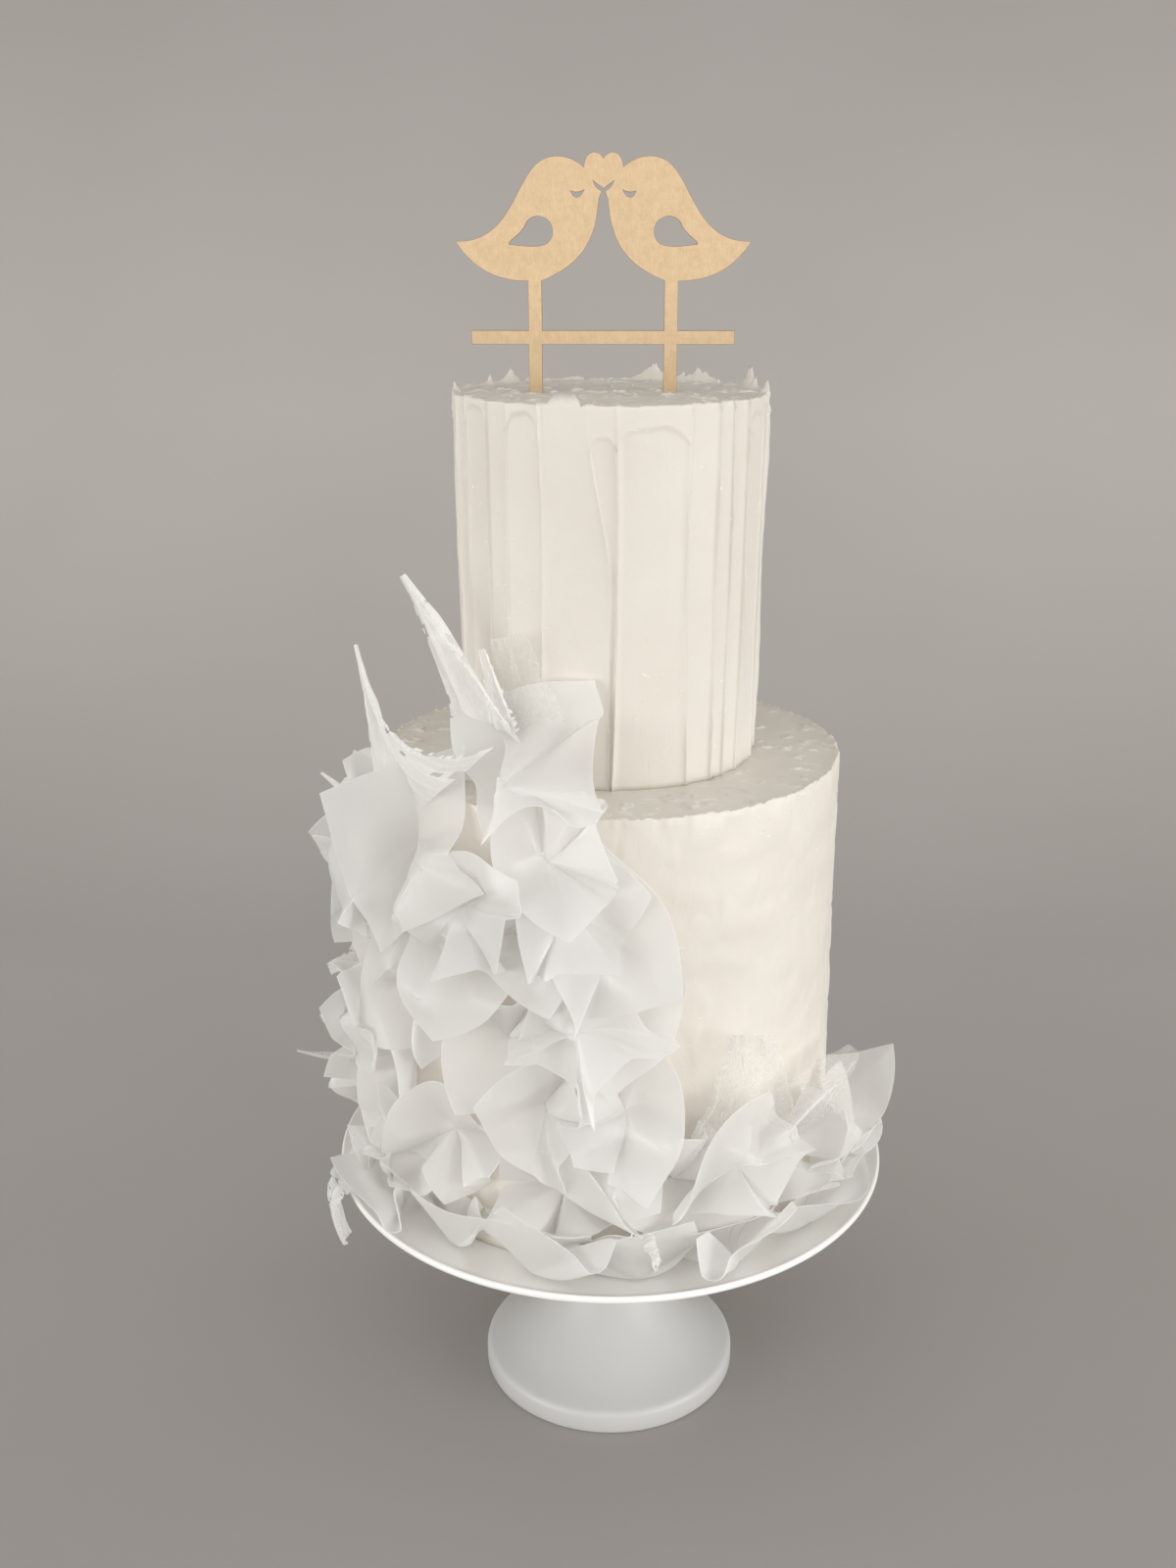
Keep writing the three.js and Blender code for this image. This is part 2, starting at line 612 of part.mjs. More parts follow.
/** A grid of points on a sail, three across: the two ragged edges and the creased middle. */
function sailGrid({ foot, tip, bow, width, crinkle }, seed) {
  const draw = draws(seed);
  const at = (share) => {
    const arch = 4 * share * (1 - share);
    const azimuth = mix(foot[0], tip[0], share) * DEGREE;
    const radius = mix(foot[2], tip[2], share) + bow[0] * arch;
    return new THREE.Vector3(...polar(azimuth, radius, mix(foot[1], tip[1], share) + bow[1] * arch));
  };
  const rows = [];
  for (let i = 0; i <= SAIL_ROWS; i++) {
    const share = i / SAIL_ROWS;
    const middle = at(share);
    const along = at(share + 0.02).sub(at(share - 0.02)).normalize();
    const out = new THREE.Vector3(middle.x, middle.y, 0).normalize();
    if (Math.abs(along.dot(out)) > 0.8) out.set(0, 0, 1);
    const across = along.clone().cross(out).normalize();
    const facing = across.clone().cross(along);
    const half = mix(width[0], width[1], share ** 0.8) / 2;
    const left = half * mix(0.7, 1.25, draw());
    const right = half * mix(0.7, 1.25, draw());
    const crease = crinkle * (draw() - 0.5) + (i % 2 ? 0.3 : -0.3) * crinkle;
    rows.push([
      middle.clone().addScaledVector(across, -left).addScaledVector(facing, crinkle * (draw() - 0.5)),
      middle.clone().addScaledVector(facing, crease),
      middle.clone().addScaledVector(across, right).addScaledVector(facing, crinkle * (draw() - 0.5)),
    ]);
  }
  return rows.map((row) => row.map((point) => new THREE.Vector3(...settle(point.toArray()))));
}

/** A thin solid on both sides of a grid of points. */
function gridSolid(rows, thickness) {
  const across = rows[0].length;
  const facings = rows.map((row, i) =>
    row.map((_, j) => {
      const down = rows[Math.min(i + 1, rows.length - 1)][j].clone().sub(rows[Math.max(i - 1, 0)][j]);
      const over = row[Math.min(j + 1, across - 1)].clone().sub(row[Math.max(j - 1, 0)]);
      return over.cross(down).normalize();
    }),
  );
  const positions = [];
  for (const side of [1, -1]) {
    rows.forEach((row, i) =>
      row.forEach((point, j) =>
        positions.push(...point.clone().addScaledVector(facings[i][j], (side * thickness) / 2).toArray()),
      ),
    );
  }
  const under = rows.length * across;
  const triangles = [];
  const face = (a, b, c) => triangles.push(a, b, c, under + a, under + c, under + b);
  for (let i = 0; i + 1 < rows.length; i++) {
    for (let j = 0; j + 1 < across; j++) {
      const a = i * across + j;
      face(a, a + 1, a + across + 1);
      face(a, a + across + 1, a + across);
    }
  }
  const edge = [];
  for (let j = 0; j + 1 < across; j++) edge.push(j);
  for (let i = 0; i + 1 < rows.length; i++) edge.push(i * across + across - 1);
  for (let j = across - 1; j > 0; j--) edge.push((rows.length - 1) * across + j);
  for (let i = rows.length - 1; i > 0; i--) edge.push(i * across);
  edge.forEach((a, k) => {
    const b = edge[(k + 1) % edge.length];
    triangles.push(a, under + a, under + b, a, under + b, b);
  });
  return meshSolid(positions, triangles);
}

// Fitting the papers round the cake and round each other

/** The space that no paper enters: the tiers, the ledge's lip and the plate, each with its clearance. */
function keepOut() {
  const clear = BOTTOM_CLEAR - 0.3;
  const tiers = lathe(
    [
      [0, PLATE_TOP - 1],
      [BOTTOM_BASE_RADIUS + clear, PLATE_TOP - 1],
      [BOTTOM_TOP_RADIUS + clear, LEDGE + 2.2],
      [BOTTOM_TOP_RADIUS - 3.5, LEDGE + 2.2],
      [BOTTOM_TOP_RADIUS - 4.5, LEDGE + GAP],
      [TOP_BASE_RADIUS + 2, LEDGE + GAP],
      [TOP_RIM_RADIUS + 2, CAKE_TOP],
      [0, CAKE_TOP],
    ],
    96,
  );
  const rim = PLATE_RADIUS + 2 * GAP;
  const stand = lathe(
    [
      [0, COLLAR_BOTTOM],
      [rim, COLLAR_BOTTOM],
      [rim, plateTop(PLATE_RADIUS) + GAP],
      [PLATE_RADIUS - 2, plateTop(PLATE_RADIUS) + GAP],
      [PLATE_FLAT_RADIUS, PLATE_TOP + GAP],
      [0, PLATE_TOP + GAP],
    ],
    96,
  );
  return toSolid(tiers).add(toSolid(stand));
}

/** What is left of a paper beside those already placed: the part with its pinch, or else the largest. */
function fit(solid, pinch, taken) {
  let left = solid;
  const box = left.boundingBox();
  for (const other of taken) {
    const clear = [0, 1, 2].some((k) => other.box.min[k] > box.max[k] || other.box.max[k] < box.min[k]);
    if (!clear) left = left.subtract(other.solid);
  }
  const bodies = left.decompose().sort((a, b) => b.volume() - a.volume());
  const holdsPinch = bodies.find((body) => {
    const { min, max } = body.boundingBox();
    return pinch.every((value, k) => value > min[k] - 1 && value < max[k] + 1);
  });
  const enough = holdsPinch && holdsPinch.volume() > LEAST_SHARE * bodies[0].volume();
  return largest((enough ? holdsPinch : bodies[0]).simplify(SLIVER));
}

function largest(solid) {
  return solid.decompose().sort((a, b) => b.volume() - a.volume())[0];
}

function papers() {
  const outside = keepOut();
  const taken = [{ solid: outside, box: outside.boundingBox() }];
  const made = [];
  const place = (name, solid, thick, pinch, material) => {
    const fitted = fit(solid, pinch, taken);
    made.push(piece(name, fitted, material));
    const space = thick.add(fitted);
    taken.push({ solid: space, box: space.boundingBox() });
  };
  const fans = [];
  SQUARES.forEach((row, i) => {
    const fan = squareEdge(row);
    shorten(fan, fans);
    fans.push(fan);
    const thick = fanSolid(fan, PAPER_THICKNESS + 2 * PAPER_SPACE);
    place(`wafer_${i + 1}`, fanSolid(fan, PAPER_THICKNESS), thick, fan.pinch.toArray(), WAFER);
  });
  SAILS.forEach((sail, i) => {
    const rows = sailGrid(sail, 300 + i);
    const thick = gridSolid(rows, PAPER_THICKNESS + 2 * PAPER_SPACE);
    place(`rice_${i + 1}`, gridSolid(rows, PAPER_THICKNESS), thick, rows[SAIL_ROWS][1].toArray(), RICE);
  });
  return made;
}

const ICING = finish("#f3ecdc", 0.5);
const ICING_TOP = finish("#f1eadb", 0.5);
const GLAZED = finish("#f4f3ef", 0.2);
const SATIN = finish("#f1f0ec", 0.5);
const BOARD = finish("#d9ba8c", 0.75);
const WAFER = finish("#f4f3f1", 0.5);
const RICE = finish("#eef0f1", 0.35);

const cake = new THREE.Group();
cake.add(
  piece("stand_plate", plate(), GLAZED),
  piece("stand_foot", foot(), SATIN),
  piece("bottom_tier", bottomTier(), ICING),
  piece("top_tier", topTier(), ICING_TOP),
  piece("topper", topper(), BOARD),
  ...papers(),
);

export default cake;
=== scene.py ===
"""Two-tier wedding cake on its stand: buttercream laid on with a knife, wafer-paper squares,
sails of rice paper and a pair of love birds cut from board. Lengths are in millimetres until a
piece is placed. The front faces -Y."""

import math

import bpy
import numpy as np
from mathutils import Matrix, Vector, noise

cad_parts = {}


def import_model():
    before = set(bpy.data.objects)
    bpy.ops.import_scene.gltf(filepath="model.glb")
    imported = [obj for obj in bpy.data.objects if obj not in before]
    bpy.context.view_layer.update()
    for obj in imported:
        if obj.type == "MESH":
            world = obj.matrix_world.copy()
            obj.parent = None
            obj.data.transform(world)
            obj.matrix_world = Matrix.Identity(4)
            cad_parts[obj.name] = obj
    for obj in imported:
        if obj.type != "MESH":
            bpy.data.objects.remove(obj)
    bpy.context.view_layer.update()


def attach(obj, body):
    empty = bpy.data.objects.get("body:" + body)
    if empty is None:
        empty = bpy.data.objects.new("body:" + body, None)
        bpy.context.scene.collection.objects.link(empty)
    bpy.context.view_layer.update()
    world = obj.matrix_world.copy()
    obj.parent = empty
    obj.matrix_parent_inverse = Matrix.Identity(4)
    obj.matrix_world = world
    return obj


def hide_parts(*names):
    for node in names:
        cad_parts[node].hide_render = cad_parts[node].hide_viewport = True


MM = 0.001
TURN = 2 * math.pi
DEGREE = math.pi / 180

# Stand
FOOT_RADIUS = 71.5
FOOT_BAND = 13.9
NECK_RADIUS = 15.5
COLLAR_RADIUS = 19
COLLAR_BOTTOM = 128
PLATE_RADIUS = 150
PLATE_FLAT_RADIUS = 122
PLATE_TOP = 141.5
PLATE_RISE = 4.5
PLATE_LIP = 3.9
PLATE_STEPS = 144
FOOT_STEPS = 128
FOOT_SWEEP = 24

# Tiers
BOTTOM_BASE_RADIUS = 117.7
BOTTOM_TOP_RADIUS = 116.7
LEDGE = 375.5
TOP_BASE_RADIUS = 73.9
TOP_RIM_RADIUS = 76.2
TOP_SHIFT = -1.5
CAKE_TOP = 554
TOP_ROWS = 92
FINE_ROWS = 34  # rows under the top tier's rim that are FINE_STEP high each
FINE_STEP = 0.85
TOP_RINGS = (0.35, 0.5, 1.2, 2, *[1.3] * 54)
BOTTOM_COLUMNS = 720
BOTTOM_ROWS = 70
BOTTOM_RINGS = (0.4, 0.5, 1.1, 2, *[1] * 42, *[11] * 6)
CURL_HEIGHT = 1.3
TOP_CURL_SEED = 9.0
BOTTOM_CURL_SEED = 3.0

# Knife strokes on the top tier: azimuth of each ridge, and how far below the rim its stroke starts
FRONT_RIDGES = [-90, -72, -62, -48, -38, -25, -8, 2, 29, 41, 48, 57, 73]
FRONT_STARTS = [0, -6, 2, -6, 3, -9, 13, 9, -6, -6, -6, 6, -6]
BACK_STROKES = 13
STROKE_SEED = 20
CURVED_RIDGE = 6
CURVED_RIDGE_SWING = 8
STROKE_COLUMNS = 24
RIDGE_HEIGHT = 1.5
STROKE_HOLLOW = 0.7

# Icing above the top rim: a rounded stroke end and the crests, by azimuth, height and half width
TONGUE = (-15.5, 6, 5.5)
RIM_CRESTS = [(113, 10, 8), (143, 6, 13), (163, 8.5, 9), (-126, 3, 4), (-137, 6, 6)]
RIM_CRESTS += [(-148, 4.5, 5), (-92, 4, 4), (93, 5, 5)]

# Topper
TOPPER_X = -5.2
TOPPER_THICKNESS = 3
TOPPER_BEVEL = 0.2
CURVE_STEPS = 24
STAKE_SPACING = 64.6
STAKE_WIDTH = 6
STAKE_BOTTOM = 508
PERCH_BOTTOM = 576.8
PERCH_HEIGHT = 6
PERCH_WIDTH = 125.2
BELLY = 605.8

# Wafer paper
PAPER_THICKNESS = 0.35
PAPER_COLUMNS = 96
PAPER_RINGS = 14
CONE_STEPS = 720
FOLDS = 3
LOBE_SKEW = 0.45
FOLD_ROUNDING = 0.03
LEAST_LIFT = 0.12
LIFT_BY_DEPTH = 0.8
FOLD_SWING = 1.35
BEND = 12  # radius in which paper turns from the wall on to the plate
PILE_STEPS = 720
PILE_FROM = -340
PILE_TO = 110
SHEET_GAP = 0.9
EASING = 24
LAST_EASING = 3
BOTTOM_CLEAR = 1
TOP_CLEAR = 2.6
PLATE_CLEAR = 0.8
CREASE = 50  # degrees past which an edge of paper stays sharp

# Pinched squares: azimuth and height of the pinch, lean up and to the right, turn in its own plane,
# direction of the widest lobe, depth of the folds, length of a side
SQUARES = [
    (-22, 393, 52, 0, 30, 150, 0.2, 78),
    (-50, 352, 10, 40, 20, 180, 0.2, 78),
    (-62, 331, 5, -20, 3, 180, 0.34, 68),
    (-30, 333, 5, 0, 10, 110, 0.38, 66),
    (-12, 362, 10, 0, 40, 230, 0.38, 64),
    (-8, 343, 5, 10, -32, 45, 0.38, 64),
    (0, 324, 0, 10, 40, 20, 0.32, 68),
    (-17, 322, 0, 0, 20, 330, 0.38, 60),
    (-32, 303, 0, 0, 45, 270, 0.36, 62),
    (-6, 284, 0, 5, 20, 60, 0.38, 66),
    (2, 290, 0, 15, -37, -20, 0.34, 60),
    (3, 239, 0, 15, -10, 0, 0.38, 66),
    (-14, 236, 0, 0, -45, 180, 0.38, 60),
    (-24, 264, 0, 0, 30, 250, 0.38, 64),
    (-36, 210, 0, -10, 15, 90, 0.36, 64),
    (-82, 223, 0, -15, 0, 180, 0.34, 66),
    (-66, 246, -10, -10, 20, 280, 0.36, 66),
    (-48, 280, 0, -10, 0, 200, 0.36, 66),
    (-84, 303, 0, -10, 30, 150, 0.4, 66),
    (-62, 299, 0, -10, 15, 270, 0.36, 64),
    (-92, 184, 0, -10, 30, 200, 0.36, 64),
    (-74, 150, 5, -15, 30, 100, 0.36, 62),
    (-58, 138, -5, -10, 20, 230, 0.36, 62),
    (-50, 180, 0, 0, 0, 330, 0.36, 64),
    (-38, 136, 30, 0, 10, 270, 0.4, 64),
    (-17, 133, 30, 0, 35, 250, 0.4, 64),
    (6, 134, 30, 0, 10, 300, 0.4, 64),
    (29, 133, 20, 5, 25, 0, 0.38, 64),
    (52, 134, 0, 10, 20, 300, 0.38, 62),
    (74, 140, 5, 10, 10, 300, 0.36, 62),
    (62, 178, 10, 10, 0, 0, 0.34, 64),
    (86, 174, -40, 10, 10, 90, 0.3, 76),
    (25, 206, 0, 10, 20, 90, 0.38, 68),
    (-10, 190, 0, 0, 45, 60, 0.38, 64),
    (-3, 214, 0, 0, 0, 280, 0.38, 62),
    (15, 190, 0, 5, 0, 270, 0.36, 68),
    (43, 192, 0, 5, 30, 120, 0.36, 68),
    (-56, 232, 0, -5, 25, 20, 0.36, 68),
    (-72, 338, 10, -10, 40, 200, 0.36, 68),
    (-98, 334, 10, -10, 10, 100, 0.36, 68),
    (-104, 300, 0, 0, 40, 200, 0.36, 70),
    (-106, 235, 0, 0, 10, 300, 0.36, 70),
]

# Rice-paper sails: foot and tip as azimuth, height and radius, bow out and up, width at the foot
# and at the tip, how fast it narrows, depth of the creases
SAILS = [
    ((-37, 376, 90), (-58, 478, 116), (-6, 0), (66, 4), 1.3, 5),
    ((-33, 380, 88), (-38, 446, 98), (-2, 0), (26, 5), 1.3, 3),
    ((-23, 388, 83), (-35, 450, 86), (0, 0), (34, 22), 1.0, 2.5),
    ((-50, 366, 121), (-68, 442, 133), (0, -6), (124, 4), 2.1, 4),
    ((-72, 345, 128), (-75, 373, 150), (0, 3), (34, 5), 1.3, 3),
    ((-84, 256, 122), (-82, 258, 152), (0, 3), (38, 14), 1.3, 4),
    ((-80, 205, 122), (-80, 213, 171), (0, -3), (26, 2), 1.3, 2),
    ((-82, 225, 122), (-79, 232, 157), (0, 3), (30, 8), 1.3, 3),
    ((-66, 149, 136), (-65, 122, 154), (12, 14), (30, 16), 1.0, 4),
    ((24, 204, 127), (31, 264, 124), (8, 0), (70, 24), 0.8, 8),
    ((42, 212, 126), (66, 226, 138), (2, 4), (48, 12), 1.0, 3),
    ((3, 160, 130), (9, 172, 146), (4, 2), (32, 16), 1.3, 4),
]
FILM_SAILS = (3, 10, 11)  # clearer, and without holes
FILM_THICKNESS = 0.25
SAIL_ROWS = 72
SAIL_COLUMNS = 28
TEAR_REACH = 16

# Camera and light: places in metres, angles in radians, sensor and focal length in millimetres
CAMERA_PLACE = (0, -0.804, 0.6245)
CAMERA_DOWN = 0.3244
CAMERA_ROLL = 0.0154
SENSOR = 36
FOCAL_LENGTH = 1654.25 / 1600 * SENSOR
LIGHT_AIM = Vector((0, 0, 0.36))


# Shaping helpers


def draws(seed):
    """Even draws between 0 and 1 from a seed."""
    state = seed

    def draw():
        nonlocal state
        state = (state * 16807) % 2147483647
        return state / 2147483647

    return draw


def mix(a, b, share):
    return a + (b - a) * share


def unit(vectors):
    return vectors / np.linalg.norm(vectors, axis=1)[:, None]


def smooth_step(share):
    return share * share * (3 - 2 * share)


def polar(azimuth, radius, z, shift=0.0):
    """Points at an azimuth in radians, 0 at the front and positive to the right."""
    x = shift + radius * np.sin(azimuth)
    y = -radius * np.cos(azimuth)
    return np.stack(np.broadcast_arrays(x, y, z), -1)


def ripple(x, y, z):
    """Smooth noise between -1 and 1 at many points."""
    x, y, z = np.broadcast_arrays(x, y, z)
    flat = zip(x.ravel().tolist(), y.ravel().tolist(), z.ravel().tolist())
    return np.array([noise.noise(p) for p in flat]).reshape(x.shape)


def alone(piece):
    """Leaves nothing selected but one piece, and makes it the active one."""
    bpy.ops.object.select_all(action="DESELECT")
    piece.select_set(True)
    bpy.context.view_layer.objects.active = piece


def points_of(piece):
    """A piece's points in millimetres."""
    flat = np.empty(len(piece.data.vertices) * 3)
    piece.data.vertices.foreach_get("co", flat)
    return flat.reshape(-1, 3) / MM


def put_points(piece, points):
    piece.data.vertices.foreach_set("co", (points * MM).astype(np.float32).ravel())
    piece.data.update()


def select(piece, kind, chosen):
    """Enters edit mode with only the chosen points, edges or faces selected."""
    alone(piece)
    mesh = piece.data
    for part in (mesh.vertices, mesh.edges, mesh.polygons):
        part.foreach_set("select", np.zeros(len(part), bool))
    bpy.context.tool_settings.mesh_select_mode = [kind == k for k in ("VERT", "EDGE", "FACE")]
    parts = {"VERT": mesh.vertices, "EDGE": mesh.edges, "FACE": mesh.polygons}[kind]
    parts.foreach_set("select", chosen)
    bpy.ops.object.mode_set(mode="EDIT")


def edge_ends(piece):
    """The two ends of every edge, in millimetres."""
    ends = np.empty(len(piece.data.edges) * 2, int)
    piece.data.edges.foreach_get("vertices", ends)
    return points_of(piece)[ends.reshape(-1, 2)]


def thicken(piece, name, thickness):
    """Gives a sheet its thickness, half on each side."""
    alone(piece)
    thick = piece.modifiers.new(name, "SOLIDIFY")
    thick.thickness = thickness * MM
    thick.offset = 0
    bpy.ops.object.modifier_apply(modifier=name)


def finished(piece, name, material, slot, *nodes):
    """Names a finished piece, gives it its finish and fixes it to the cake in place of its solids."""
    alone(piece)
    bpy.ops.object.transform_apply(location=True, rotation=True, scale=True)
    bpy.ops.object.shade_smooth()
    piece.name = name
    piece.data.name = name
    piece.data.materials.clear()
    piece.data.materials.append(material)
    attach(piece, "root")
    if nodes:
        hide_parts(*nodes)
    return piece


# Materials


class Finish:
    """A material's node tree, with the few kinds of node that the finishes need."""

    def __init__(self, name):
        self.material = bpy.data.materials.new(name)
        self.material.use_nodes = True
        self.tree = self.material.node_tree
        self.shader = self.tree.nodes["Principled BSDF"]
        self.output = self.tree.nodes["Material Output"]
        self.place = self.tree.nodes.new("ShaderNodeTexCoord").outputs["Object"]

    def link(self, source, target):
        self.tree.links.new(source, target)

    def stretched(self, source, scale, turn=(0, 0, 0)):
        node = self.tree.nodes.new("ShaderNodeMapping")
        node.inputs["Scale"].default_value = scale
        node.inputs["Rotation"].default_value = turn
        self.link(source, node.inputs["Vector"])
        return node.outputs["Vector"]

    def noise(self, scale, detail=3.0, roughness=0.5, distortion=0.0, at=None):
        node = self.tree.nodes.new("ShaderNodeTexNoise")
        node.inputs["Scale"].default_value = scale
        node.inputs["Detail"].default_value = detail
        node.inputs["Roughness"].default_value = roughness
        node.inputs["Distortion"].default_value = distortion
        self.link(at or self.place, node.inputs["Vector"])
        return node.outputs["Fac"]

    def cells(self, scale, feature="F1", at=None):
        node = self.tree.nodes.new("ShaderNodeTexVoronoi")
        node.feature = feature
        node.inputs["Scale"].default_value = scale
        self.link(at or self.place, node.inputs["Vector"])
        return node.outputs["Distance"]

    def part(self, axis, source=None):
        """One coordinate of a vector, of the place on the piece if no other is given."""
        node = self.tree.nodes.new("ShaderNodeSeparateXYZ")
        self.link(source or self.place, node.inputs[0])
        return node.outputs[axis]

    def ramp(self, source, *stops):
        """Colours along a value: each stop is its place and its colour or grey."""
        node = self.tree.nodes.new("ShaderNodeValToRGB")
        band = node.color_ramp
        while len(band.elements) < len(stops):
            band.elements.new(0.5)
        for element, (where, colour) in zip(band.elements, stops):
            element.position = where
            element.color = (*(colour if isinstance(colour, tuple) else [colour] * 3), 1)
        self.link(source, node.inputs["Fac"])
        return node.outputs["Color"]

    def math(self, operation, a, b):
        node = self.tree.nodes.new("ShaderNodeMath")
        node.operation = operation
        for socket, value in zip(node.inputs, (a, b)):
            if isinstance(value, (int, float)):
                socket.default_value = value
            else:
                self.link(value, socket)
        return node.outputs["Value"]

    def blend(self, share, a, b, kind="MIX"):
        node = self.tree.nodes.new("ShaderNodeMix")
        node.data_type = "RGBA"
        node.blend_type = kind
        for socket, value in ((node.inputs[0], share), (node.inputs[6], a), (node.inputs[7], b)):
            if isinstance(value, (int, float)):
                socket.default_value = value
            elif isinstance(value, tuple):
                socket.default_value = (*value, 1)
            else:
                self.link(value, socket)
        return node.outputs[2]

    def bump(self, height, strength, distance, below=None):
        node = self.tree.nodes.new("ShaderNodeBump")
        node.inputs["Strength"].default_value = strength
        node.inputs["Distance"].default_value = distance * MM
        self.link(height, node.inputs["Height"])
        if below:
            self.link(below, node.inputs["Normal"])
        return node.outputs["Normal"]

    def set(self, **values):
        """Sets shader sockets by name, with _ for a space."""
        for name, value in values.items():
            socket = self.shader.inputs[name.replace("_", " ")]
            if isinstance(value, (int, float, tuple)):
                socket.default_value = (*value, 1) if name == "Base_Color" else value
            else:
                self.link(value, socket)


def buttercream(name, streaks, painted_shade):
    """Cream icing smoothed with a knife: streaks, smears and pits, and scratches where it is level. Its
    pits are painted darker as painted shade, its scratches and sparse flakes are painted whiter as
    painted highlights, and both tones are darkened by a given painted-shade factor.
    """
    finish = Finish(name)
    cloud = finish.noise(14, 4, 0.6)
    tones = ((0.755, 0.712, 0.63), (0.795, 0.76, 0.693))
    # Both tones are multiplied by a given factor of painted shade, which makes one tier's cream darker
    # than the other's.
    low, high = (tuple(painted_shade * c for c in tone) for tone in tones)
    warm = finish.ramp(cloud, (0.3, low), (0.7, high))
    pits = finish.cells(170)
    sparse = finish.noise(23, 2)
    here = finish.math("GREATER_THAN", sparse, 0.56)
    # Small pits in sparse patches: sunk by the bump below, and painted darker and browner inside as
    # painted shade.
    shaded_pits = finish.math("MULTIPLY", finish.math("LESS_THAN", pits, 0.085), here)
    colour = finish.blend(finish.math("MULTIPLY", shaded_pits, 0.35), warm, (0.62, 0.53, 0.38))
    # Sparse thin flakes painted whiter: painted highlights for curled icing edges that catch the light.
    highlight_flake = finish.noise(1, 3, 0.6, 0.6, finish.stretched(finish.place, (90, 260, 260)))
    highlight_flake = finish.ramp(highlight_flake, (0.66, 0.0), (0.7, 0.7))
    few_highlights = finish.math("MULTIPLY", highlight_flake, finish.ramp(sparse, (0.5, 0.0), (0.6, 1.0)))
    colour = finish.blend(few_highlights, colour, (0.93, 0.91, 0.87))
    # Thin lines on level icing: bumped in as real scratches, and painted whiter as painted highlights
    # of edges that catch the light.
    line = finish.ramp(finish.noise(45, 3, 0.6, 0.8), (0.48, 0.0), (0.5, 1.0), (0.52, 0.0))
    facing = finish.tree.nodes.new("ShaderNodeNewGeometry").outputs["Normal"]
    level = finish.ramp(finish.part("Z", facing), (0.5, 0.0), (0.9, 1.0))
    scratch_and_highlight = finish.math("MULTIPLY", line, finish.ramp(finish.noise(55, 2), (0.52, 0.0), (0.6, 0.9)))
    scratch_and_highlight = finish.math("MULTIPLY", scratch_and_highlight, level)
    colour = finish.blend(scratch_and_highlight, colour, (0.95, 0.94, 0.91))
    grain = finish.noise(1500, 3, 0.6)
    fine = finish.bump(grain, 0.12, 0.12)
    stroke = finish.noise(1, 4, 0.65, at=finish.stretched(finish.place, streaks))
    drawn = finish.bump(stroke, 0.35, 0.7, fine)
    smear = finish.noise(38, 5, 0.62, 0.9)
    smeared = finish.bump(finish.ramp(smear, (0.45, 0.0), (0.5, 0.5), (0.52, 1.0)), 0.12, 0.5, drawn)
    pitted = finish.bump(finish.math("SUBTRACT", scratch_and_highlight, shaded_pits), 0.3, 0.4, smeared)
    rough = finish.ramp(finish.noise(60, 3), (0.3, 0.4), (0.75, 0.58))
    finish.set(Base_Color=colour, Roughness=rough, Normal=pitted, Specular_IOR_Level=0.4)
    finish.set(Subsurface_Weight=0.12, Subsurface_Radius=(1.0, 0.75, 0.45), Subsurface_Scale=0.006)
    return finish.material


def sheer(finish, through, clear):
    """Lets light through a paper, and shows some of what is behind it."""
    tree = finish.tree
    glow = tree.nodes.new("ShaderNodeBsdfTranslucent")
    glow.inputs["Color"].default_value = (0.995, 0.992, 0.988, 1)
    open_air = tree.nodes.new("ShaderNodeBsdfTransparent")
    lit = tree.nodes.new("ShaderNodeMixShader")
    lit.inputs[0].default_value = through
    finish.link(finish.shader.outputs["BSDF"], lit.inputs[1])
    finish.link(glow.outputs["BSDF"], lit.inputs[2])
    seen = tree.nodes.new("ShaderNodeMixShader")
    if isinstance(clear, float):
        seen.inputs[0].default_value = clear
    else:
        finish.link(clear, seen.inputs[0])
    finish.link(lit.outputs[0], seen.inputs[1])
    finish.link(open_air.outputs["BSDF"], seen.inputs[2])
    finish.link(seen.outputs[0], finish.output.inputs["Surface"])


def wafer_paper():
    """Smooth white edible paper with a satin face and a faint tooth."""
    finish = Finish("wafer paper")
    cloud = finish.noise(35, 4, 0.6)
    colour = finish.ramp(cloud, (0.3, (0.965, 0.96, 0.945)), (0.7, (0.985, 0.98, 0.965)))
    tooth = finish.bump(finish.noise(1800, 2), 0.08, 0.1)
    cockle = finish.bump(finish.noise(60, 2, 0.4), 0.12, 1.0, tooth)
    rough = finish.ramp(finish.noise(90, 3), (0.3, 0.33), (0.7, 0.46))
    finish.set(Base_Color=colour, Roughness=rough, Normal=cockle, Specular_IOR_Level=0.5)
    sheer(finish, 0.75, 0.05)
    return finish.material


def rice_paper(name, colour, least, most, lace):
    """Crinkled film with white fibres along it, clearer between them and lacy at one side."""
    finish = Finish(name)
    length = finish.tree.nodes.new("ShaderNodeTexCoord").outputs["UV"]
    streaks = finish.noise(1, 5, 0.62, 0.4, finish.stretched(length, (9, 1.6, 1)))
    flecks = finish.noise(1, 4, 0.7, 1.2, finish.stretched(length, (30, 26, 1)))
    net = finish.cells(1, "DISTANCE_TO_EDGE", finish.stretched(length, (16, 34, 1)))
    side = finish.ramp(finish.part("X", length), (0.4, 0.0), (0.9, 1.0))
    torn = finish.math("MULTIPLY", side, lace)
    gaps = finish.math("MULTIPLY", torn, finish.ramp(net, (0.06, 0.0), (0.16, 1.0)))
    thin = finish.ramp(streaks, (0.3, least), (0.55, most))
    thin = finish.math("MULTIPLY", thin, finish.ramp(flecks, (0.34, 0.88), (0.6, 1.0)))
    clear = finish.math("MAXIMUM", thin, gaps)
    crinkle = finish.bump(flecks, 0.05, 0.4, finish.bump(streaks, 0.1, 0.8))
    finish.set(Base_Color=colour, Roughness=0.5, Normal=crinkle, Specular_IOR_Level=0.3)
    sheer(finish, 0.6, clear)
    return finish.material


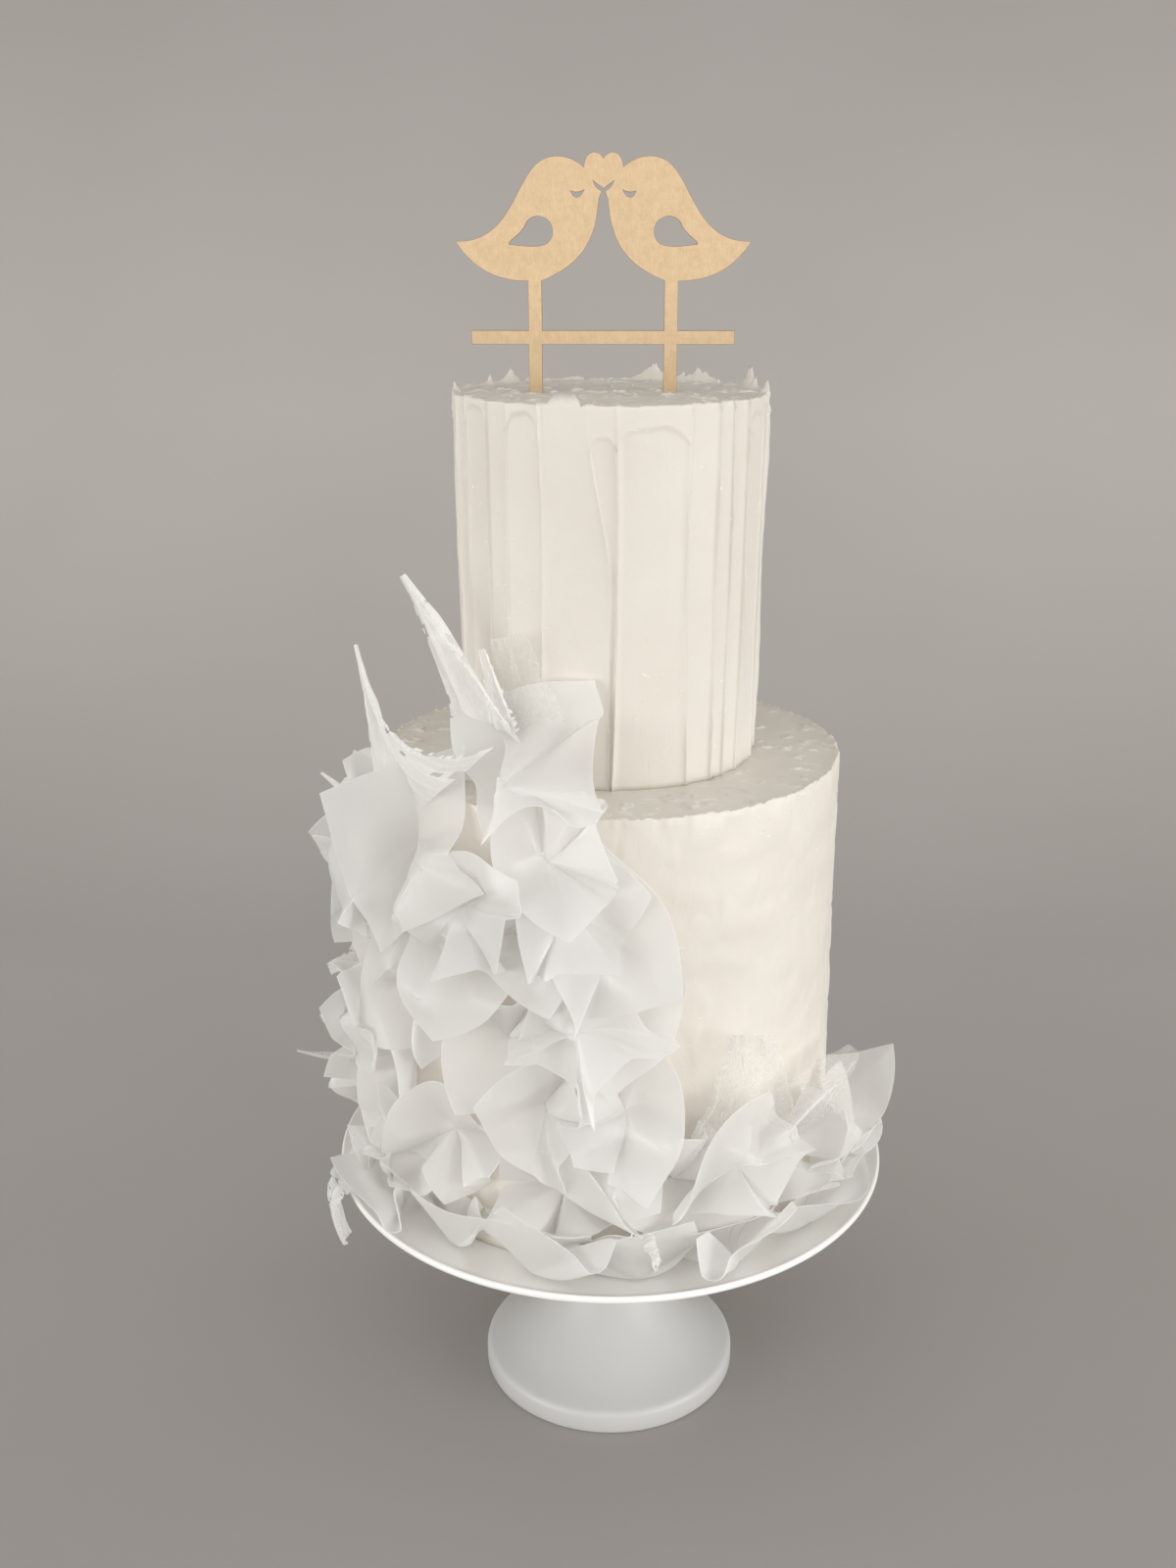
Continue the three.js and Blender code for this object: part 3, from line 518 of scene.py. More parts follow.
def enamel(name, colour, roughness, coat):
    """Painted metal with a slight orange peel."""
    finish = Finish(name)
    cloud = finish.noise(9, 3)
    low = tuple(0.965 * c for c in colour)
    peel = finish.bump(finish.noise(420, 2), 0.04, 0.2)
    rough = finish.ramp(finish.noise(45, 4), (0.3, roughness * 0.88), (0.7, roughness * 1.12))
    finish.set(Base_Color=finish.ramp(cloud, (0.3, low), (0.7, colour)), Roughness=rough, Normal=peel)
    finish.set(Coat_Weight=coat, Coat_Roughness=0.06)
    return finish.material


def kraft_board():
    """Pale brown board with fine upright fibres and a mottled face, darker low down."""
    finish = Finish("kraft board")
    fibre = finish.noise(1, 4, 0.7, at=finish.stretched(finish.place, (1700, 1700, 320)))
    cloud = finish.noise(320, 4, 0.65)
    base = finish.ramp(cloud, (0.3, (0.655, 0.47, 0.275)), (0.7, (0.74, 0.55, 0.34)))
    colour = finish.blend(0.5, base, finish.ramp(fibre, (0.35, 0.82), (0.6, 1.0)), "MULTIPLY")
    specks = finish.math("LESS_THAN", finish.cells(650), 0.09)
    colour = finish.blend(finish.math("MULTIPLY", specks, 0.3), colour, (0.36, 0.22, 0.11))
    # The board's colour darkens towards its bottom, to 0.86 at the perch's foot.
    darker_low_down = finish.ramp(finish.part("Z"), (0.572, 0.86), (0.602, 1.0))
    colour = finish.blend(1.0, colour, darker_low_down, "MULTIPLY")
    finish.set(Base_Color=colour, Roughness=0.72, Normal=finish.bump(fibre, 0.25, 0.15))
    return finish.material


def scorched_edge():
    """The board's cut edge, browned by the laser."""
    finish = Finish("scorched edge")
    band = finish.noise(1, 3, at=finish.stretched(finish.place, (160, 1400, 160)))
    colour = finish.ramp(band, (0.35, (0.2, 0.115, 0.055)), (0.7, (0.33, 0.2, 0.1)))
    finish.set(Base_Color=colour, Roughness=0.8, Normal=finish.bump(band, 0.3, 0.2))
    return finish.material


# Stand


def plate_top(radius):
    """Height of the plate at a radius, level past its rim."""
    past = np.clip(radius, PLATE_FLAT_RADIUS, PLATE_RADIUS) - PLATE_FLAT_RADIUS
    return PLATE_TOP + PLATE_RISE * (past / (PLATE_RADIUS - PLATE_FLAT_RADIUS)) ** 2


def turned(profile, steps):
    """A solid of revolution: a profile drawn point by point, spun round the axis and closed."""
    start = Vector((profile[0][0] * MM, 0, profile[0][1] * MM))
    bpy.ops.mesh.primitive_plane_add(size=MM, location=start)
    piece = bpy.context.object
    bpy.ops.object.transform_apply(location=True)
    bpy.context.tool_settings.mesh_select_mode = (True, False, False)
    bpy.ops.object.mode_set(mode="EDIT")
    bpy.ops.mesh.select_all(action="SELECT")
    bpy.ops.mesh.merge(type="CENTER")
    for (r0, z0), (r1, z1) in zip(profile, profile[1:]):
        step = ((r1 - r0) * MM, 0, (z1 - z0) * MM)
        bpy.ops.mesh.extrude_vertices_move(TRANSFORM_OT_translate={"value": step})
    bpy.ops.mesh.select_all(action="SELECT")
    bpy.ops.mesh.spin(steps=steps, angle=TURN, center=(0, 0, 0), axis=(0, 0, 1))
    bpy.ops.mesh.select_all(action="SELECT")
    bpy.ops.mesh.remove_doubles(threshold=0.02 * MM)
    bpy.ops.mesh.normals_make_consistent(inside=False)
    bpy.ops.object.mode_set(mode="OBJECT")
    return piece


def stand_plate(material):
    """A shallow plate whose rim rises and ends in a rounded lip."""
    rim = float(plate_top(PLATE_RADIUS))
    profile = [(0, COLLAR_BOTTOM), (COLLAR_RADIUS - 1, COLLAR_BOTTOM)]
    profile += [(COLLAR_RADIUS, COLLAR_BOTTOM + 1)]
    profile += [(COLLAR_RADIUS + 1, PLATE_TOP - 10.5), (COLLAR_RADIUS + 4, PLATE_TOP - 9)]
    for radius, below in ((60, 7.8), (100, 6.5), (122, 5), (138, 3)):
        profile.append((radius, PLATE_TOP - below))
    profile += [(PLATE_RADIUS - 3, rim - PLATE_LIP - 0.6)]
    for i in range(9):
        turn = math.pi * (i / 8 - 0.5)
        reach = PLATE_RADIUS - 1.6 + 1.6 * math.cos(turn)
        profile.append((reach, rim - PLATE_LIP / 2 + PLATE_LIP / 2 * math.sin(turn)))
    for radius in (147, 143, 139, 135, 131, 127, 124, 122):
        profile.append((radius, float(plate_top(radius))))
    profile += [(80, PLATE_TOP), (0, PLATE_TOP)]
    piece = turned(profile, PLATE_STEPS)
    return finished(piece, "cake_plate", material, "gloss_enamel", "stand_plate")


def stand_foot(material):
    """A broad foot with a rounded band, sweeping up in one hollow curve to the neck."""
    profile = [(0, 0), (FOOT_RADIUS - 2, 0), (FOOT_RADIUS - 0.6, 0.6), (FOOT_RADIUS, 2)]
    profile += [(FOOT_RADIUS, FOOT_BAND - 4), (FOOT_RADIUS - 0.5, FOOT_BAND - 2.2)]
    profile += [(FOOT_RADIUS - 1.6, FOOT_BAND - 0.8), (FOOT_RADIUS - 3.2, FOOT_BAND)]
    for i in range(1, FOOT_SWEEP + 1):
        share = i / FOOT_SWEEP
        radius = NECK_RADIUS + (FOOT_RADIUS - 5 - NECK_RADIUS) * (1 - share) ** 2.2
        profile.append((radius, mix(FOOT_BAND + 1, COLLAR_BOTTOM - 14, share**1.25)))
    profile += [(NECK_RADIUS + 0.4, COLLAR_BOTTOM - 7), (COLLAR_RADIUS - 1.6, COLLAR_BOTTOM - 1)]
    profile += [(COLLAR_RADIUS - 1, COLLAR_BOTTOM - 0.1), (0, COLLAR_BOTTOM - 0.1)]
    piece = turned(profile, FOOT_STEPS)
    return finished(piece, "cake_stand_foot", material, "satin_enamel", "stand_foot")


# Tiers


def bottom_radius(z):
    return mix(BOTTOM_BASE_RADIUS, BOTTOM_TOP_RADIUS, (z - PLATE_TOP) / (LEDGE - PLATE_TOP))


def top_radius(z):
    return mix(TOP_BASE_RADIUS, TOP_RIM_RADIUS, (z - LEDGE) / (CAKE_TOP - LEDGE))


def drum(radius, columns, rows, rings):
    """A drum of unit height with its wall cut into rows, and its top inset by each ring in turn."""
    bpy.ops.mesh.primitive_cylinder_add(
        vertices=columns, radius=radius * MM, depth=MM, location=(0, 0, MM / 2)
    )
    piece = bpy.context.object
    bpy.ops.object.transform_apply(location=True)
    ends = edge_ends(piece)
    select(piece, "EDGE", np.abs(ends[:, 0, 2] - ends[:, 1, 2]) > 0.5)
    bpy.ops.mesh.subdivide(number_cuts=rows - 1)
    bpy.ops.object.mode_set(mode="OBJECT")
    up = np.array([face.normal.z > 0.9 for face in piece.data.polygons])
    select(piece, "FACE", up)
    for ring in rings:
        bpy.ops.mesh.inset(thickness=ring * MM)
    bpy.ops.mesh.poke()
    bpy.ops.object.mode_set(mode="OBJECT")
    return piece


def strokes():
    """Ridges round the top tier as arrays: place, drift, height, level, rise and swing, start."""
    draw = draws(STROKE_SEED)
    edges = list(FRONT_RIDGES)
    width = 180 / BACK_STROKES
    for i in range(BACK_STROKES):
        edges.append(90 + width * (i + 0.5 * draw()))
    rows = []
    for i, edge in enumerate(edges):
        curved = i == CURVED_RIDGE
        drift = 0 if curved else 2.4 * (draw() - 0.5)
        height = RIDGE_HEIGHT * mix(0.5, 1.4, draw())
        level = 0.5 * (draw() - 0.5)
        rise = 1.6 * draw()
        rows.append((edge, drift, height, level, rise, CURVED_RIDGE_SWING if curved else 0))
    starts = list(FRONT_STARTS)
    while len(starts) < len(edges):
        starts.append(12 * draw() - 2)
    return np.array(rows), np.array(starts, float)


def ridge_azimuth(stroke, z):
    depth = (CAKE_TOP - z) / (CAKE_TOP - LEDGE)
    edge, drift, swing = stroke[:, 0], stroke[:, 1], stroke[:, 5]
    bent = smooth_step(np.clip(depth * 2.2, 0, 1))
    return edge + drift * np.sin(4 * depth) + swing * bent


def stroke_relief(stroke, following, share, z, start):
    """How far the icing stands off the plain wall across a stroke, between its ridge and the next."""
    wave = 0.75 + 0.25 * np.sin(z / 17 + stroke[:, 0]) + 0.25 * ripple(stroke[:, 0], z / 11, 3.0)
    near = stroke[:, 2] * np.exp(-((share / 0.045) ** 2))
    far = following[:, 2] * 0.6 * np.exp(-(((1 - share) / 0.05) ** 2))
    relief = stroke[:, 3] + (near + far) * wave - STROKE_HOLLOW * np.sin(np.pi * share)
    rounded = 8 + 9 * ripple(stroke[:, 0], 1.0, 8.0)
    arch = CAKE_TOP - start - rounded * np.abs(2 * share - 1) ** 4
    arch = arch + 1.2 * ripple(share * 4, stroke[:, 0], 5.0)
    above = np.clip((z - arch) / 1.2, 0, 1)
    end = 0.7 * np.exp(-((z - arch) ** 2))
    return mix(relief, 0.35 + 0.3 * relief, above) + end


def away_from(degrees, place, half):
    """Distance round the cake from a place, in half widths."""
    return np.abs((degrees - place + 540) % 360 - 180) / half


def crest(azimuth):
    """Height of the ragged rim above the cake's top."""
    degrees = azimuth / DEGREE
    height = 0.7 + 0.4 * np.sin(azimuth * 9) * np.sin(azimuth * 23 + 1) + 0.2 * np.sin(azimuth * 41)
    place, peak, half = TONGUE
    height += peak * np.sqrt(np.clip(1 - away_from(degrees, place, half) ** 2, 0, 1))
    for place, peak, half in RIM_CRESTS:
        near = np.maximum(0, 1 - away_from(degrees, place, half)) ** 1.5
        height += peak * near * (1 + 0.5 * ripple(degrees / 2.1, peak, 4.0))
    return np.maximum(0.2, height)


def curls(points, seed):
    """Thin curved ridges that the knife leaves here and there on level icing."""
    x, y = points[:, 0], points[:, 1]
    field = ripple(x / 13, y / 13, seed) + 0.3 * ripple(x / 5, y / 5, seed + 1)
    here = np.clip(5 * ripple(x / 10, y / 10, seed + 2) - 0.2, 0, 1)
    return CURL_HEIGHT * here * np.exp(-(((field - 0.1) / 0.06) ** 2))


def ragged(azimuth, amount):
    """Fine tears along an edge of icing."""
    return amount * (ripple(azimuth * 31, 2.0, 0.0) + 0.6 * ripple(azimuth * 83, 7.0, 0.0))


def top_tier(material):
    """The top tier: upright strokes with standing ridges, a torn rim and small curls on top."""
    stroke_rows, starts = strokes()
    count = len(stroke_rows)
    columns = count * STROKE_COLUMNS
    piece = drum(TOP_RIM_RADIUS, columns, TOP_ROWS, TOP_RINGS)
    points = points_of(piece)
    azimuth = np.arctan2(points[:, 0], -points[:, 1])
    radius = np.hypot(points[:, 0], points[:, 1])
    column = np.round(azimuth / TURN * columns).astype(int) % columns
    index = column // STROKE_COLUMNS
    share = (column % STROKE_COLUMNS) / STROKE_COLUMNS
    share = share - 0.1 * np.sin(TURN * share)
    stroke, following = stroke_rows[index], stroke_rows[(index + 1) % count]
    row = np.round(points[:, 2] * TOP_ROWS)
    coarse = TOP_ROWS - FINE_ROWS
    lower = mix(LEDGE, CAKE_TOP - FINE_ROWS * FINE_STEP, row / coarse)
    z = np.where(row > coarse, CAKE_TOP - (TOP_ROWS - row) * FINE_STEP, lower)
    begin = ridge_azimuth(stroke, z)
    span = (ridge_azimuth(following, z) - begin + 360) % 360
    around = (begin + span * share) * DEGREE
    inside = TOP_RIM_RADIUS - radius
    wall = inside < 0.1
    relief = stroke_relief(stroke, following, share, z, starts[index])
    relief += 0.12 * ripple(points[:, 0] / 9, points[:, 1] / 9, z / 26)
    foot = np.clip((LEDGE + 5 - z) / 5, 0, 1)
    relief += foot * (0.5 + 0.7 * ripple(around * 9, z / 3, 9.0))
    up = crest(around) + stroke[:, 4] * (1 - share)
    up = np.maximum(0.1, up + ragged(around, 0.9) * (0.4 + up / 5))
    keep = np.interp(inside, [0, 0.35, 0.85, 2.05, 4.05], [0, 1, 0.85, 0.3, 0])
    swirl = 0.25 * np.sin(3 * around + radius / 9)
    swirl += 0.5 * ripple(points[:, 0] / 14, points[:, 1] / 14, 2.0)
    swirl += 0.9 * np.abs(ripple(around * 2.2 + radius / 60, radius / 5, 6.0))
    swirl += curls(points, TOP_CURL_SEED)
    level = CAKE_TOP + keep * up + swirl * np.clip((inside - 3) / 6, 0, 1)
    shape = polar(around, np.where(wall, top_radius(z) + relief, radius + keep * relief), z, TOP_SHIFT)
    shape[~wall, 2] = level[~wall]
    shape[wall & (row == 0), 2] = LEDGE + 0.1
    put_points(piece, shape)
    return finished(piece, "top_tier_icing", material, "icing", "top_tier")


def swell(azimuth, z):
    """Slow swells of smoothed icing on the bottom tier."""
    return 0.22 * np.sin(azimuth * 5 + z / 31) + 0.13 * np.sin(azimuth * 11 - z / 13)


def lip(azimuth):
    """Height of the thin ragged lip round the bottom tier's edge."""
    wave = 0.5 * np.sin(azimuth * 13) * np.sin(azimuth * 7 + 2)
    return 0.7 + wave + 0.5 * np.maximum(0, np.sin(azimuth - 0.3))


def bottom_tier(material):
    """The bottom tier: a smoothed wall with faint smears, a thin lip, and curls on its ledge."""
    piece = drum(BOTTOM_TOP_RADIUS, BOTTOM_COLUMNS, BOTTOM_ROWS, BOTTOM_RINGS)
    points = points_of(piece)
    azimuth = np.arctan2(points[:, 0], -points[:, 1])
    radius = np.hypot(points[:, 0], points[:, 1])
    inside = BOTTOM_TOP_RADIUS - radius
    wall = inside < 0.1
    z = mix(PLATE_TOP + 0.2, LEDGE, points[:, 2])
    round_wall = azimuth * BOTTOM_TOP_RADIUS
    patch = ripple(round_wall / 24, z / 13, 1.0) + 0.5 * ripple(round_wall / 9, z / 6, 4.0)
    smear = 0.3 * np.clip(patch * 7, -1, 1) + 0.14 * ripple(round_wall / 5, z / 3, 6.0)
    near_edge = np.clip((z - LEDGE + 7) / 7, 0, 1)
    chipped = np.clip(3 * ripple(azimuth * 9, z / 5, 2.0) - 0.3, 0, 1)
    edge_wear = near_edge * (0.8 * ripple(azimuth * 34, z / 2, 8.0) - 0.35 * near_edge - 0.9 * chipped)
    relief = swell(azimuth, z) + smear + edge_wear
    up = np.maximum(0.1, lip(azimuth) + ragged(azimuth, 1.5))
    keep = np.interp(inside, [0, 0.4, 0.9, 2.0, 4.0], [0, 1, 0.8, 0.25, 0])
    wavy = 0.3 * ripple(points[:, 0] / 16, points[:, 1] / 16, 7.0) + curls(points, BOTTOM_CURL_SEED)
    level = LEDGE + keep * up + wavy * np.clip((inside - 2) / 5, 0, 1)
    shape = polar(azimuth, np.where(wall, bottom_radius(z) + relief, radius + keep * relief), z)
    shape[~wall, 2] = level[~wall]
    put_points(piece, shape)
    return finished(piece, "bottom_tier_icing", material, "icing", "bottom_tier")


# Topper


def curve_through(start, *bends):
    """Points along a chain of bezier bends, each given by its two handles and its end."""
    points = [start]
    for first, second, end in bends:
        begin = points[-1]
        for i in range(1, CURVE_STEPS + 1):
            t = i / CURVE_STEPS
            a, b, c, d = (1 - t) ** 3, 3 * t * (1 - t) ** 2, 3 * t * t * (1 - t), t**3
            point = [a * p + b * q + c * r + d * s for p, q, r, s in zip(begin, first, second, end)]
            points.append(tuple(point))
    return points


def both_halves(half):
    """A closed outline from its right half, which starts on the middle line."""
    left = [(-u, z) for u, z in reversed(half) if u > 0]
    return half + left


def bird_outline():
    inner = STAKE_SPACING / 2 - STAKE_WIDTH / 2
    outer = STAKE_SPACING / 2 + STAKE_WIDTH / 2
    perch_top = PERCH_BOTTOM + PERCH_HEIGHT
    half = curve_through(
        (0, 659.4),
        ((2, 663.4), (8.6, 664.2), (9, 655.6)),
        ((14, 660.6), (25, 663.4), (32, 656.4)),
        ((42, 646), (45, 622.6), (69.2, 623.2)),
        ((62, 612.4), (52, 605.6), (outer, BELLY)),
    )
    half += [(outer, perch_top), (PERCH_WIDTH / 2, perch_top), (PERCH_WIDTH / 2, PERCH_BOTTOM)]
    half += [(outer, PERCH_BOTTOM), (outer, STAKE_BOTTOM), (inner, STAKE_BOTTOM), (inner, PERCH_BOTTOM)]
    return both_halves(half)


def breast_gap():
    inner = STAKE_SPACING / 2 - STAKE_WIDTH / 2
    half = [(0, 646.9), (5.2, 650.6)]
    half += curve_through((5.2, 650.6), ((4.6, 647.6), (3, 646.6), (0.9, 645.4)))[1:]
    half += curve_through((2.4, 642), ((3.6, 620), (14, 612), (inner, BELLY)))
    half += [(inner, PERCH_BOTTOM + PERCH_HEIGHT)]
    return both_halves(half)


def wing(side):
    half = curve_through(
        (44.2, 621.8),
        ((46, 623.6), (38.6, 626), (36.6, 631.2)),
        ((33.4, 637.4), (23, 635), (23.6, 627.2)),
        ((24.6, 619.4), (33, 620.6), (44.2, 621.8)),
    )
    return [(side * u, z) for u, z in half[:-1]]


def eye(side):
    lid = curve_through(
        (8.6, 646.6),
        ((10.87, 645.13), (13.2, 644.93), (15.6, 646)),
        ((14.2, 641.3), (10.6, 641.5), (8.6, 646.6)),
    )
    return [(side * u, z) for u, z in lid[:-1]]


def topper(face, edge):
    """The love birds on their perch and stakes, cut in one from 3 mm board."""
    curve = bpy.data.curves.new("love birds", "CURVE")
    curve.dimensions = "2D"
    curve.fill_mode = "BOTH"
    curve.extrude = (TOPPER_THICKNESS / 2 - TOPPER_BEVEL) * MM
    curve.bevel_depth = TOPPER_BEVEL * MM
    for outline in (bird_outline(), breast_gap(), wing(-1), wing(1), eye(-1), eye(1)):
        spline = curve.splines.new("POLY")
        spline.points.add(len(outline) - 1)
        for point, (u, z) in zip(spline.points, outline):
            point.co = ((TOPPER_X + u) * MM, z * MM, 0, 1)
        spline.use_cyclic_u = True
    piece = bpy.data.objects.new("love_birds", curve)
    bpy.context.scene.collection.objects.link(piece)
    piece.rotation_euler = (math.pi / 2, 0, 0)
    alone(piece)
    bpy.ops.object.convert(target="MESH")
    piece = bpy.context.object
    bpy.ops.object.transform_apply(location=True, rotation=True, scale=True)
    bpy.ops.object.mode_set(mode="EDIT")
    bpy.ops.mesh.select_all(action="SELECT")
    bpy.ops.mesh.remove_doubles(threshold=0.005 * MM)
    bpy.ops.mesh.normals_make_consistent(inside=False)
    bpy.ops.object.mode_set(mode="OBJECT")
    finished(piece, "love_birds", face, "fibreboard", "topper")
    bpy.ops.object.shade_smooth_by_angle(angle=30 * DEGREE)
    piece.data.materials.append(edge)
    for polygon in piece.data.polygons:
        polygon.material_index = int(abs(polygon.normal.y) < 0.9)
    return piece


# Wafer paper


def square_frame(row):
    """The pinch of a square and its three directions: off the cake, to the right and up."""
    azimuth, z, up, side = row[0] * DEGREE, row[1], row[2] * DEGREE, row[3] * DEGREE
    on_ledge = z > LEDGE
    radius = top_radius(z) + TOP_CLEAR if on_ledge else bottom_radius(z) + BOTTOM_CLEAR
    out = polar(azimuth, 1, 0)
    right = np.array([math.cos(azimuth), math.sin(azimuth), 0])
    above = np.array([0, 0, 1.0])
    raised = out * math.cos(up) + above * math.sin(up)
    upward = above * math.cos(up) - out * math.sin(up)
    normal = raised * math.cos(side) + right * math.sin(side)
    across = right * math.cos(side) - raised * math.sin(side)
    return polar(azimuth, radius, z, TOP_SHIFT if on_ledge else 0), normal, across, upward


def settle(points):
    """Keeps paper off the walls, the ledge and the plate, where it bends outwards and lies down."""
    x, y, z = points.T
    radius = np.hypot(x, y)
    azimuth = np.arctan2(x, -y)
    below = plate_top(radius) + PLATE_CLEAR - z
    lying = (below > 0) & (radius < PLATE_RADIUS)
    radius = np.where(lying, radius + 0.9 * below, radius)
    z = np.where(lying, plate_top(radius) + PLATE_CLEAR + 0.12 * below, z)
    low = z < LEDGE
    inside = bottom_radius(z) + BOTTOM_CLEAR - radius
    over = low & (inside > LEDGE - z) & (LEDGE - z < 25)
    z = np.where(over, LEDGE + BOTTOM_CLEAR, z)
    radius = np.where(low & ~over, np.maximum(radius, bottom_radius(z) + BOTTOM_CLEAR), radius)
    from_top = np.hypot(radius * np.sin(azimuth) - TOP_SHIFT, radius * np.cos(azimuth))
    wall = top_radius(z) + TOP_CLEAR
    inside_top = (z >= LEDGE) & (from_top < wall)
    radius = np.where(inside_top, radius * wall / np.maximum(from_top, 1), radius)
    return polar(azimuth, radius, z)


def folds(turn, widest, depth):
    """The wave of a pinched square's folds and their bearing, round the paper's own angle."""
    angle = TURN * np.arange(CONE_STEPS + 1) / CONE_STEPS - (widest - turn) * DEGREE
    skewed = angle - LOBE_SKEW * np.sin(angle)
    wave = 2 * np.sqrt(np.cos(FOLDS * skewed / 2) ** 2 + FOLD_ROUNDING) - 1.3
    rise = square_lift(depth) + FOLD_SWING * depth * wave
    step = TURN / CONE_STEPS
    slope = np.diff(rise) / step
    level = np.cos((rise[1:] + rise[:-1]) / 2)
    turned_by = np.cumsum(np.sqrt(np.maximum(0.02, 1 - slope**2)) / level * step)
    bearing = np.concatenate([[0], turned_by])
    return wave, turn * DEGREE + bearing * TURN / bearing[-1]


def square_lift(depth):
    return LEAST_LIFT + LIFT_BY_DEPTH * depth


def wall_radius(z):
    """Radius at which paper lies on the bottom tier, carried on past both of its ends."""
    return np.minimum(bottom_radius(z), BOTTOM_BASE_RADIUS) + BOTTOM_CLEAR


def lie(azimuth, down, height):
    """Points by azimuth, way down the wall and out over the plate, and height off the icing."""
    corner = np.clip(down / BEND, 0, math.pi / 2)
    past = np.maximum(0, down - BEND * math.pi / 2)
    z = PLATE_TOP + BEND - np.where(down < 0, down, BEND * np.sin(corner))
    foot = wall_radius(z) + np.where(down < 0, 0, BEND * (1 - np.cos(corner))) + past
    lean = smooth_step(np.clip((down + 34) / 74, 0, 1)) * math.pi / 2
    radius = foot + height * np.cos(lean)
    z = z + height * np.sin(lean) + np.where(down > 0, plate_top(radius) - PLATE_TOP, 0)
    return polar(azimuth, radius, z)


class Pile:
    """How high the papers already lie off the icing, by azimuth and way down."""

    def __init__(self):
        self.way = np.arange(PILE_FROM, PILE_TO)
        around = np.arange(PILE_STEPS) * TURN / PILE_STEPS
        z = PLATE_TOP + BEND - self.way[None, :]
        inner = top_radius(z) + TOP_CLEAR + TOP_SHIFT * np.sin(around)[:, None] - wall_radius(z)
        self.height = np.where(z > LEDGE + 1, inner, np.zeros_like(inner))

    def cells(self, azimuth, down):
        column = np.round(azimuth / TURN * PILE_STEPS).astype(int) % PILE_STEPS
        row = np.clip(np.round(down - PILE_FROM).astype(int), 0, len(self.way) - 1)
        return column, row

    def under(self, azimuth, down):
        return self.height[self.cells(azimuth, down)]

    def cover(self, azimuth, down, height):
        """Adds a sheet, given on a grid of rings and spokes, to the pile."""
        x, y = np.sin(azimuth), np.cos(azimuth)
        x, y, down, height = (finer(finer(field)) for field in (x, y, down, height))
        np.maximum.at(self.height, self.cells(np.arctan2(x, y), down), height)


def finer(field):
    """Halves the spacing of a grid of rings and spokes; the spokes run all the way round."""
    wrapped = np.concatenate([field, field[:, :1]], axis=1)
    spokes = np.empty((len(field), 2 * field.shape[1]))
    spokes[:, 0::2] = field
    spokes[:, 1::2] = (wrapped[:, 1:] + wrapped[:, :-1]) / 2
    rings = np.empty((2 * len(field) - 1, spokes.shape[1]))
    rings[0::2] = spokes
    rings[1::2] = (spokes[1:] + spokes[:-1]) / 2
    return rings


def spread(field):
    """A field over a sheet after one smoothing; the first ring is the pinch, one point."""
    around = (np.roll(field, 1, axis=1) + 2 * field + np.roll(field, -1, axis=1)) / 4
    inner = np.concatenate([around[1:2], around[:-1]])
    outer = np.concatenate([around[1:], around[-1:]])
    across = (inner + 2 * around + outer) / 4
    across[0] = across[0].mean()
    return across


def eased(need):
    """A lift of at least what is needed all over a sheet, that changes gently across it."""
    need = np.maximum(need, np.maximum(np.roll(need, 1, axis=1), np.roll(need, -1, axis=1)))
    need[:-1] = np.maximum(need[:-1], need[1:])
    lift = need
    for _ in range(EASING):
        lift = np.maximum(need, spread(lift))
    for _ in range(LAST_EASING):
        lift = spread(lift)
    return lift


def square_grid(row, number):
    """A folded square as a grid of points, from the pinch out in rings, each a full turn of spokes."""
    angle = np.arange(PAPER_COLUMNS) * TURN / PAPER_COLUMNS
    share = (np.arange(PAPER_RINGS + 1) / PAPER_RINGS)[:, None]
    pinch, normal, across, upward = square_frame(row)
    wave, bearing = folds(row[4], row[5], row[6])
    steps = np.linspace(0, TURN, CONE_STEPS + 1)
    wave, bearing = np.interp(angle, steps, wave), np.interp(angle, steps, bearing)
    loose = ripple(np.cos(angle) * 0.9, np.sin(angle) * 0.9, number * 3.7)
    rise = square_lift(row[6]) * (1.2 - 0.35 * share)
    rise = rise + FOLD_SWING * row[6] * wave * (1.15 - 0.3 * share) + 0.16 * share * loose
    reach = share * row[7] / 2 / np.maximum(np.abs(np.cos(angle)), np.abs(np.sin(angle)))
    flat = np.cos(rise) * reach
    right, up, off = flat * np.cos(bearing), flat * np.sin(bearing), np.sin(rise) * reach
    return pinch + right[..., None] * across + up[..., None] * upward + off[..., None] * normal


def laid(points, pile):
    """Lays a grid of points over the icing and the papers below it, at its own width."""
    x, y, z = points[..., 0], points[..., 1], points[..., 2]
    azimuth, radius = np.arctan2(x, -y), np.hypot(x, y)
    down = PLATE_TOP + BEND - z
    height = radius - wall_radius(z)
    lift = np.zeros_like(height)
    for _ in range(3):
        drawn_in = radius[0, 0] / (radius[0, 0] + lift.mean())
        place = azimuth[0, 0] + (azimuth - azimuth[0, 0]) * drawn_in
        lift = eased(np.maximum(0, pile.under(place, down) + SHEET_GAP - height))
    pile.cover(place, down, height + lift)
    return lie(place, down, height + lift)


def flat_sheet():
    """A flat disc of paper in rings and spokes, to be drawn out to a square and folded."""
    bpy.ops.mesh.primitive_circle_add(
        vertices=PAPER_COLUMNS, radius=MM, fill_type="TRIFAN", location=(0, 0, 0)
    )
    sheet = bpy.context.object
    ends = np.linalg.norm(edge_ends(sheet), axis=2)
    select(sheet, "EDGE", np.abs(ends[:, 0] - ends[:, 1]) > 0.5)
    bpy.ops.mesh.subdivide(number_cuts=PAPER_RINGS - 1)
    bpy.ops.object.mode_set(mode="OBJECT")
    return sheet


